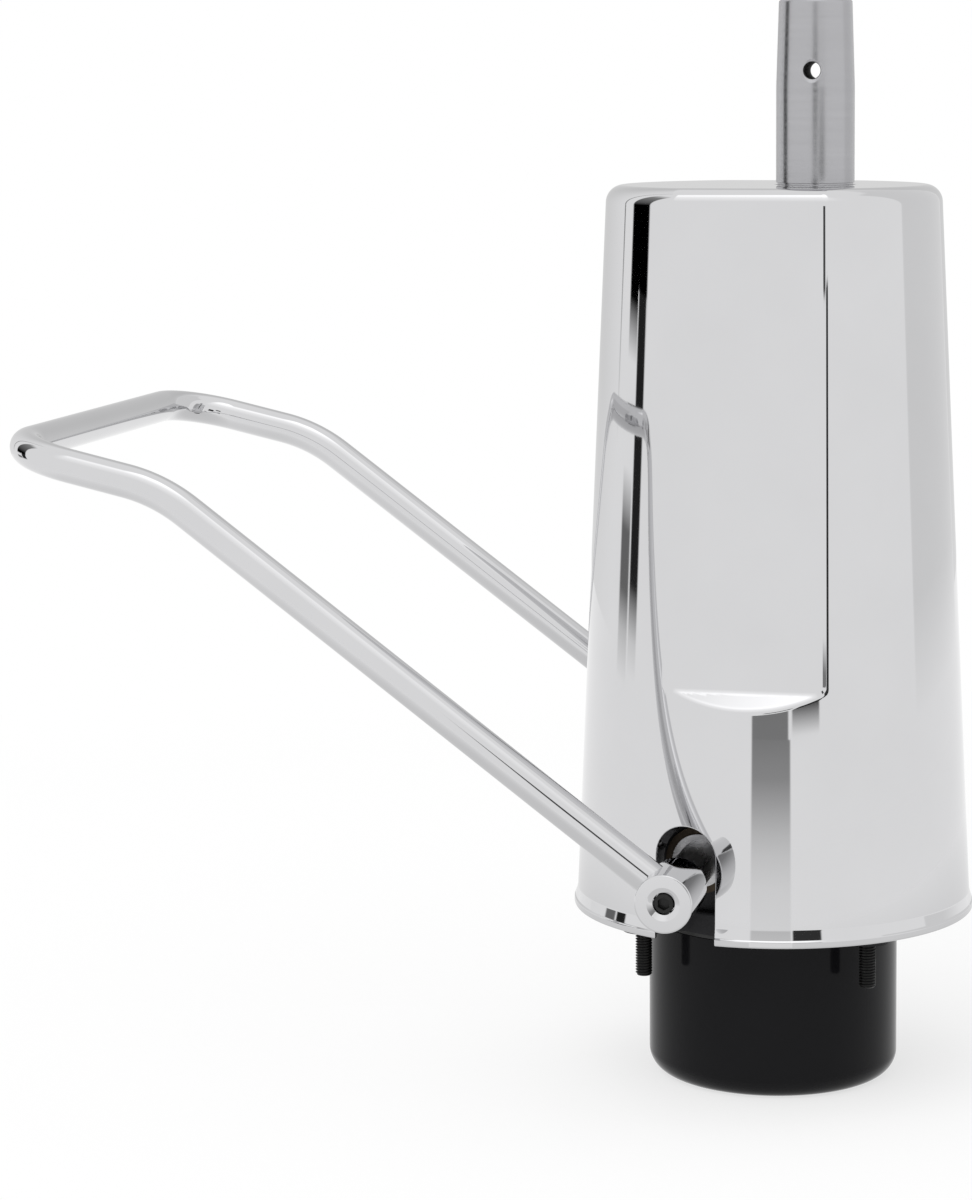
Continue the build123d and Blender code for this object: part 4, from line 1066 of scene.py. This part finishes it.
def hub_screw_patches(s, side):
    """A screw with a cylinder head that has a rounded rim and a hexagon socket."""
    centre, axes = (s.pivot_x, 0, s.pivot_z), pivot_axes(side)
    base = s.hub_end - s.sink_depth
    top = base + s.screw_head_height
    length, face_radius = 7, s.screw_head_radius - 0.7
    columns = turned(48)
    profile = rounded_line(
        [
            (0, base - length), (s.screw_radius, base - length), (s.screw_radius, base),
            (s.screw_head_radius, base), (s.screw_head_radius, top), (face_radius, top),
        ],
        [0.4, 0, 0.15, 0.5],
    )
    ring = ring_of(columns, axes)
    rim = ring * face_radius + np.array(centre, float)
    socket = ring * hexagon(s.socket_across, columns)[:, None] + np.array(centre, float)
    middle = np.broadcast_to(np.array(centre, float), socket.shape)
    floor = (top - s.socket_depth) * axes[2]
    return [
        lathe(profile, columns, centre, axes),
        flat_patch(between(rim + top * axes[2], socket + top * axes[2], [0, 1]), axes[2]),
        flat_patch(between(socket + floor, middle + floor, [0, 1]), axes[2]),
        *hexagon_walls(s.socket_across, top - s.socket_depth, top, centre, axes, -1, 8),
    ]


def shaft_patches(s):
    """The pivot shaft: a turned bar with rounded ends and two clip grooves."""
    r, end, groove = s.shaft_radius, s.shaft_end, s.shaft_radius - 0.8
    groove_out, groove_in = 40.75, 39.55
    half = [(r, groove_out), (groove, groove_out), (groove, groove_in), (r, groove_in)]
    corners = [(0, -end), (r, -end), *[(x, -y) for x, y in half], *half[::-1], (r, end), (0, end)]
    profile = rounded_line(corners, [0.6, 0, 0, 0, 0, 0, 0, 0, 0, 0.6])
    return [lathe(profile, turned(96), (s.pivot_x, 0, s.pivot_z), pivot_axes(1))]


class PUMP_OT_foot_bar(bpy.types.Operator):
    """Build the bent rod of the foot bar."""

    bl_idname = "pump.foot_bar"
    bl_label = "Build the foot bar"

    def execute(self, context):
        """Builds the foot bar from its settings."""
        patches = foot_bar_patches(measures(context.scene.pump_pedal))
        make_piece("foot_bar_rod", "chrome", "pedal", patches, "foot_bar")
        return {"FINISHED"}


class PUMP_OT_pivot(bpy.types.Operator):
    """Build the hubs, their screws and the pivot shaft."""

    bl_idname = "pump.pivot"
    bl_label = "Build the hubs and shaft"

    def execute(self, context):
        """Builds the pieces that turn about the pivot."""
        s = measures(context.scene.pump_pedal)
        make_piece("hub_near_turned", "chrome", "pedal", hub_patches(s, -1), "hub_near")
        make_piece("hub_far_turned", "chrome", "pedal", hub_patches(s, 1), "hub_far")
        screws = hub_screw_patches(s, -1) + hub_screw_patches(s, 1)
        make_piece("hub_screw_pair", "bolt_black", "pedal", screws, "hub_screws")
        make_piece("shaft_turned", "steel", "pedal", shaft_patches(s), "pivot_shaft")
        return {"FINISHED"}


class BaseSettings(bpy.types.PropertyGroup):
    """Sizes of the canister and the mounting bolts."""

    canister_radius: size("Canister radius", "Outer radius of the canister", 45.0)
    canister_bottom: size("Canister bottom", "Height of its underside", -58.2)
    canister_top: size("Canister top", "Height of its rim", -1.5)
    canister_wall: size("Canister wall", "Sheet thickness", 2.5)
    canister_round: size("Canister round", "Outer radius of its bottom edge", 8.0)
    bolt_spacing: size("Bolt spacing", "Side of the square of bolts", 80.0)
    bolt_radius: size("Bolt radius", "Outer radius of the thread", 3.0)
    bolt_core: size("Bolt core", "Radius at the root of the thread", 2.42)
    bolt_shank: size("Bolt shank", "Radius of the plain shank", 2.65)
    bolt_pitch: size("Thread pitch", "Rise of the thread per turn", 1.0)
    bolt_tip: size("Bolt tip", "Height of the bolt's end", -16.2)
    bolt_relief: size("Thread end", "Height where the thread ends", -0.3)
    head_across: size("Head width", "Width across the flats of the head", 10.0)
    head_bottom: size("Head bottom", "Height of the head's underside", 9.2)
    head_top: size("Head top", "Height of the head's top", 13.2)


def canister_patches(s):
    """The canister, a turned cup with rounded bottom edges."""
    r, wall, bottom, top = s.canister_radius, s.canister_wall, s.canister_bottom, s.canister_top
    profile = rounded_line(
        [(0, bottom), (r, bottom), (r, top), (r - wall, top), (r - wall, bottom + wall), (0, bottom + wall)],
        [s.canister_round, 0.4, 0.4, s.canister_round - wall], 12,
    )
    return [lathe(profile, turned(144))]


def bolt_patches(s, x, y):
    """A bolt: the thread's radius rises and falls with the fraction of height / pitch - angle / turn, between
    core and outer radius, under a cone at the tip; above it a plain shank and a hexagon head."""
    centre, axes, columns = (x, y, 0), UPRIGHT, turned(24)
    rows_per_turn, margin, run_out = 10, 0.001, 0.9
    rows = np.arange(s.bolt_tip, s.bolt_relief + margin, s.bolt_pitch / rows_per_turn)
    rows[-1] = s.bolt_relief

    def thread(turn, z):
        wave = np.abs(2 * ((z / s.bolt_pitch - turn / (2 * math.pi)) % 1) - 1)
        crest = smooth_step(wave * 1.35 - 0.2)
        fade = smooth_step((s.bolt_relief - z) / run_out)
        radius = s.bolt_shank + fade * (s.bolt_core + (s.bolt_radius - s.bolt_core) * crest - s.bolt_shank)
        radius = np.minimum(radius, s.bolt_core - 0.1 + (z - s.bolt_tip))
        ring = joined(radius * np.sin(turn), -radius * np.cos(turn), z)
        return ring + np.array(centre, float)

    def outward(points):
        return (points - np.array(centre, float)) * np.array([1, 1, 0])

    turn, z = np.meshgrid(columns, rows)
    skin = surface(thread, turn, z, outward)
    ring = ring_of(columns, axes)
    hexagon_ring = ring * hexagon(s.head_across, columns)[:, None] + np.array(centre, float)
    middle = np.broadcast_to(np.array(centre, float), hexagon_ring.shape)
    shank = ring * s.bolt_shank + np.array(centre, float)
    tip = np.broadcast_to(np.array([x, y, s.bolt_tip], float), skin[0][0].shape)
    side = np.broadcast_to(ring, (2, *ring.shape))
    under, over = s.head_bottom * axes[2], s.head_top * axes[2]
    return [
        skin,
        flat_patch(between(skin[0][0], tip, [0, 1]), (0, 0, -1)),
        (np.stack([skin[0][-1], shank + under]), side),
        flat_patch(between(shank + under, hexagon_ring + under, [0, 1]), (0, 0, -1)),
        flat_patch(between(hexagon_ring + over, middle + over, [0, 1]), (0, 0, 1)),
        *hexagon_walls(s.head_across, s.head_bottom, s.head_top, centre, axes, 1, 4),
    ]


class PUMP_OT_base(bpy.types.Operator):
    """Build the canister and the mounting bolts."""

    bl_idname = "pump.base"
    bl_label = "Build the canister and bolts"

    def execute(self, context):
        """Builds the pieces under the cover."""
        s = measures(context.scene.pump_base)
        make_piece("canister_cup", "canister_black", "pump_body", canister_patches(s), "oil_canister")
        half = s.bolt_spacing / 2
        bolts = [patch for x in (-half, half) for y in (-half, half) for patch in bolt_patches(s, x, y)]
        make_piece("mounting_bolts_threaded", "bolt_black", "pump_body", bolts, "mounting_bolts")
        return {"FINISHED"}


class PUMP_OT_inner_finishes(bpy.types.Operator):
    """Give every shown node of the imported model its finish."""

    bl_idname = "pump.inner_finishes"
    bl_label = "Finish the remaining pieces"

    def execute(self, context):
        """Sets the finish on the slots of each node that is still shown."""
        for name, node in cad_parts.items():
            if node.hide_render:
                continue
            for place in node.material_slots:
                place.link = "OBJECT"
                place.material = finish(slot_of(name))
        return {"FINISHED"}


def stage_mesh(name, points, faces, material):
    """A stage object from arrays of points and faces."""
    mesh = bpy.data.meshes.new(name)
    mesh.from_pydata(points.tolist(), [], faces.tolist())
    mesh.materials.append(material)
    made = bpy.data.objects.new(name, mesh)
    bpy.context.scene.collection.objects.link(made)
    return made


def card_material():
    """Plain light whose strength is the shade stored on the card's points."""
    found = bpy.data.materials.get("card_shade")
    if found:
        return found
    material = bpy.data.materials.new("card_shade")
    material.use_nodes = True
    material.node_tree.nodes.clear()
    nodes = NodeTree(material.node_tree)
    shade = nodes.add("ShaderNodeAttribute", attribute_name="shade")
    light = nodes.add("ShaderNodeEmission")
    output = nodes.add("ShaderNodeOutputMaterial")
    nodes.link(shade.outputs["Fac"], light.inputs["Strength"])
    nodes.link(light.outputs[0], output.inputs["Surface"])
    return material


def card(name, start, end, path, side_fade):
    """A card seen only in polished surfaces: an arc round the object between two angles from the camera's
    side, carried along a path of (distance, height, level). Over its sides, in degrees, it fades to white."""
    across, up = 48, 80
    turns, stops = np.linspace(start, end, across), np.arange(len(path))
    steps = np.linspace(0, len(path) - 1, up)
    distance, height, level = (np.interp(steps, stops, part) for part in np.array(path, float).T)
    turn = np.radians(turns + CAMERA_SIDE)[:, None]
    points = joined(distance * np.sin(turn), -distance * np.cos(turn), height).reshape(-1, 3)
    sides = smooth_step(np.minimum(turns - start, end - turns) / side_fade)[:, None] if side_fade else 1
    shade = 1 - (1 - level) * sides + np.zeros_like(turn)
    made = stage_mesh(name, points, grid_cells(across, up), card_material())
    values = made.data.attributes.new("shade", "FLOAT", "POINT")
    values.data.foreach_set("value", shade.reshape(-1).astype(np.float32))
    made.visible_camera = False
    made.visible_diffuse = False
    made.visible_shadow = False
    made.visible_transmission = False
    made.visible_volume_scatter = False
    return made


def floor_material():
    """Pale matt floor that turns into plain white light away from the object, and partly so everywhere for
    the camera and for reflections, which keeps the object's shadow but makes it faint."""
    material = bpy.data.materials.new("studio_floor")
    material.use_nodes = True
    material.node_tree.nodes.clear()
    nodes = NodeTree(material.node_tree)
    matt_radius, white_radius, white_share = 0.35, 0.8, 0.68
    place = nodes.add("ShaderNodeTexCoord")
    length = nodes.add("ShaderNodeVectorMath", operation="LENGTH")
    fade = nodes.add(
        "ShaderNodeMapRange", {"From Min": matt_radius, "From Max": white_radius},
        interpolation_type="SMOOTHSTEP",
    )
    matt = nodes.add("ShaderNodeBsdfPrincipled", {"Base Color": (0.97, 0.97, 0.97, 1), "Roughness": 0.9})
    matt.inputs["Specular IOR Level"].default_value = 0.0
    white = nodes.add("ShaderNodeEmission", {"Strength": 1.0})
    mix = nodes.add("ShaderNodeMixShader")
    output = nodes.add("ShaderNodeOutputMaterial")
    path = nodes.add("ShaderNodeLightPath")
    seen = nodes.add("ShaderNodeMath", operation="MAXIMUM")
    seen_or_through = nodes.add("ShaderNodeMath", operation="MAXIMUM")
    part = nodes.add("ShaderNodeMath", {1: white_share}, operation="MULTIPLY")
    most = nodes.add("ShaderNodeMath", operation="MAXIMUM")
    nodes.link(path.outputs["Is Camera Ray"], seen.inputs[0])
    nodes.link(path.outputs["Is Glossy Ray"], seen.inputs[1])
    nodes.link(seen.outputs[0], seen_or_through.inputs[0])
    nodes.link(path.outputs["Is Transmission Ray"], seen_or_through.inputs[1])
    nodes.link(seen_or_through.outputs[0], part.inputs[0])
    nodes.link(place.outputs["Object"], length.inputs[0])
    nodes.link(length.outputs["Value"], fade.inputs["Value"])
    nodes.link(fade.outputs[0], most.inputs[0])
    nodes.link(part.outputs[0], most.inputs[1])
    nodes.link(most.outputs[0], mix.inputs[0])
    nodes.link(matt.outputs[0], mix.inputs[1])
    nodes.link(white.outputs[0], mix.inputs[2])
    nodes.link(mix.outputs[0], output.inputs["Surface"])
    return material


def light_surroundings(settings):
    """White surroundings for the camera and for reflections, and softer light on unpolished surfaces."""
    world = bpy.data.worlds.new("studio")
    world.use_nodes = True
    world.node_tree.nodes.clear()
    nodes = NodeTree(world.node_tree)
    path = nodes.add("ShaderNodeLightPath")
    seen = nodes.add("ShaderNodeMath", operation="MAXIMUM")
    seen_or_through = nodes.add("ShaderNodeMath", operation="MAXIMUM")
    level = nodes.add("ShaderNodeMapRange", {"To Min": settings.room_light, "To Max": 1.0})
    background = nodes.add("ShaderNodeBackground", {"Color": (1, 1, 1, 1)})
    output = nodes.add("ShaderNodeOutputWorld")
    nodes.link(path.outputs["Is Camera Ray"], seen.inputs[0])
    nodes.link(path.outputs["Is Glossy Ray"], seen.inputs[1])
    nodes.link(seen.outputs[0], seen_or_through.inputs[0])
    nodes.link(path.outputs["Is Transmission Ray"], seen_or_through.inputs[1])
    nodes.link(seen_or_through.outputs[0], level.inputs["Value"])
    nodes.link(level.outputs[0], background.inputs["Strength"])
    nodes.link(background.outputs[0], output.inputs["Surface"])
    bpy.context.scene.world = world


def make_light(name, kind, place, target, power, **settings):
    """A lamp at a place, aimed at a target."""
    data = bpy.data.lights.new(name, kind)
    data.energy = power
    for key, value in settings.items():
        setattr(data, key, value)
    lamp = bpy.data.objects.new(name, data)
    lamp.location = place
    lamp.rotation_euler = (Vector(target) - Vector(place)).to_track_quat("-Z", "Y").to_euler()
    bpy.context.scene.collection.objects.link(lamp)
    return lamp


def make_camera(settings):
    """The camera, its view turned by yaw, pitch and roll."""
    data = bpy.data.cameras.new("view")
    data.sensor_width = 36
    data.sensor_fit = "AUTO"
    data.lens = settings.camera_lens
    data.shift_x = settings.camera_shift_x
    data.shift_y = settings.camera_shift_y
    data.dof.use_dof = False
    data.clip_start = 0.05
    data.clip_end = 50
    camera = bpy.data.objects.new("view", data)
    bpy.context.scene.collection.objects.link(camera)
    yaw, pitch, roll = settings.camera_yaw, settings.camera_pitch, settings.camera_roll
    ahead = Vector((-math.sin(yaw) * math.cos(pitch), math.cos(yaw) * math.cos(pitch), -math.sin(pitch)))
    right = Vector((math.cos(yaw), math.sin(yaw), 0))
    above = right.cross(ahead)
    turned_right = right * math.cos(roll) + above * math.sin(roll)
    turned_above = above * math.cos(roll) - right * math.sin(roll)
    matrix = Matrix((turned_right, turned_above, -ahead)).transposed().to_4x4()
    matrix.translation = (settings.camera_x, settings.camera_y, settings.camera_z)
    camera.matrix_world = matrix
    bpy.context.scene.camera = camera


class PUMP_OT_stage(bpy.types.Operator):
    """Set up the floor, the surroundings, the lamps, the cards and the camera."""

    bl_idname = "pump.stage"
    bl_label = "Build the stage"

    def execute(self, context):
        """Builds every stage object."""
        settings = context.scene.pump_stage
        floor_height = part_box("oil_canister")[0].z
        corners = np.array([[-6, -6, 0], [6, -6, 0], [6, 6, 0], [-6, 6, 0]], float)
        floor = stage_mesh("floor", corners, np.array([[0, 1, 2, 3]]), floor_material())
        floor.location.z = floor_height
        light_surroundings(settings)
        softbox = make_light(
            "softbox", "AREA", (0.02, -0.25, 1.3), (0.0, 0.0, 0.1), settings.softbox_power,
            shape="RECTANGLE", size=1.4, size_y=1.4,
        )
        key = make_light(
            "key", "SUN", (-0.6, -1.2, 1.6), (0, 0, 0), settings.key_power, angle=math.radians(60)
        )
        softbox.visible_glossy = key.visible_glossy = False
        ground = floor_height + 0.001
        card("front_gap", -14, 8, [(1.0, ground, 0.26), (1.0, 0.02, 0.24), (1.0, 0.04, 1.0)], 1.2)
        card("crease_gap", 9, 26, [
            (1.0, -0.02, 1.0), (1.0, 0.0, 0.04), (1.0, 0.255, 0.04), (1.0, 0.262, 1.0),
        ], 1.2)
        card("ram_gap", -10, 6, [
            (1.0, 0.248, 1.0), (1.0, 0.255, 0.08), (1.0, 0.38, 0.08), (1.0, 0.4, 1.0),
        ], 2.0)
        card("front_lift", -11.6, 7.1, [
            (0.16, -0.03, 1.0), (0.16, 0.011, 0.885), (0.16, 0.0226, 0.78), (0.16, 0.0312, 0.666),
            (0.16, 0.0427, 0.47), (0.16, 0.0514, 0.338), (0.16, 0.058, 0.31), (0.16, 0.066, 0.27),
        ], 1.0)
        card("left_flag", -110, -91, [
            (1.1, 0.17, 1.0), (1.1, 0.21, 0.0), (1.1, 0.3, 0.0),
            (1.1, 0.5, 0.12), (1.1, 1.0, 0.3), (1.1, 1.3, 1.0),
        ], 1.5)
        card("left_flag_low", -100.5, -91.5, [
            (1.08, -0.03, 1.0), (1.08, -0.006, 0.8), (1.08, 0.03, 0.02), (1.08, 0.22, 0.02),
        ], 1.5)
        card("left_shade", -111, -100, [
            (1.09, -0.04, 1.0), (1.09, -0.006, 0.68), (1.09, 0.02, 0.17),
            (1.09, 0.06, 0.17), (1.09, 0.1, 1.0),
        ], 2.0)
        card("left_strip", -120.7, -118.7, [
            (1.1, 0.1, 1.0), (1.1, 0.25, 0.3), (1.1, 1.8, 0.3), (1.1, 2.0, 1.0),
        ], 0.6)
        card("right_card", 92, 150, [
            (1.1, ground, 1.0), (1.1, 0.02, 0.84), (1.1, 1.8, 0.84), (1.1, 2.0, 1.0),
        ], 1.5)
        card("floor_card", -180, 180, [(0.05, ground, 0.76), (0.25, ground, 0.8), (0.5, ground, 1.0)], 0)
        card("back_card", 112, 248, [
            (1.4, ground, 0.8), (1.4, 0.1, 0.72), (1.4, 0.45, 0.68), (1.4, 1.2, 0.68), (1.4, 2.2, 1.0),
        ], 58)
        light = settings.ledge_light
        card("ledge_card", -60, 60, [
            (0.05, 2.0, 1.0), (0.2, 2.0, light), (0.55, 2.0, light), (1.0, 1.8, 1.22), (1.6, 1.3, 1.0),
        ], 20)
        make_camera(settings)
        context.scene.view_settings.view_transform = "Standard"
        return {"FINISHED"}


class PUMP_PT_panel(bpy.types.Panel):
    """Lists the builders of the pump's pieces."""

    bl_label = "Chair pump"
    bl_idname = "PUMP_PT_panel"
    bl_space_type = "VIEW_3D"
    bl_region_type = "UI"
    bl_category = "Chair pump"

    def draw(self, context):
        """One button for each operator and one field for each setting."""
        for operator in OPERATORS:
            self.layout.operator(operator.bl_idname)
        for group in GROUPS:
            settings = getattr(context.scene, group)
            for field in settings.__annotations__:
                self.layout.prop(settings, field)


OPERATORS = (
    PUMP_OT_cover, PUMP_OT_ram, PUMP_OT_foot_bar, PUMP_OT_pivot, PUMP_OT_base, PUMP_OT_inner_finishes,
    PUMP_OT_stage,
)
GROUPS = {
    "pump_colours": FinishColours,
    "pump_cover": CoverSettings,
    "pump_ram": RamSettings,
    "pump_pedal": PedalSettings,
    "pump_base": BaseSettings,
    "pump_stage": StageSettings,
}


def register():
    """Registers the settings, the operators and the panel."""
    for name, group in GROUPS.items():
        bpy.utils.register_class(group)
        setattr(bpy.types.Scene, name, bpy.props.PointerProperty(type=group))
    for operator in OPERATORS:
        bpy.utils.register_class(operator)
    bpy.utils.register_class(PUMP_PT_panel)


def unregister():
    """Removes what register added."""
    bpy.utils.unregister_class(PUMP_PT_panel)
    for operator in reversed(OPERATORS):
        bpy.utils.unregister_class(operator)
    for name, group in GROUPS.items():
        delattr(bpy.types.Scene, name)
        bpy.utils.unregister_class(group)


def main():
    """Builds everything in order."""
    register()
    bpy.ops.pump.cover()
    bpy.ops.pump.ram()
    bpy.ops.pump.foot_bar()
    bpy.ops.pump.pivot()
    bpy.ops.pump.base()
    bpy.ops.pump.inner_finishes()
    bpy.ops.pump.stage()


if __name__ == "__main__":
    main()
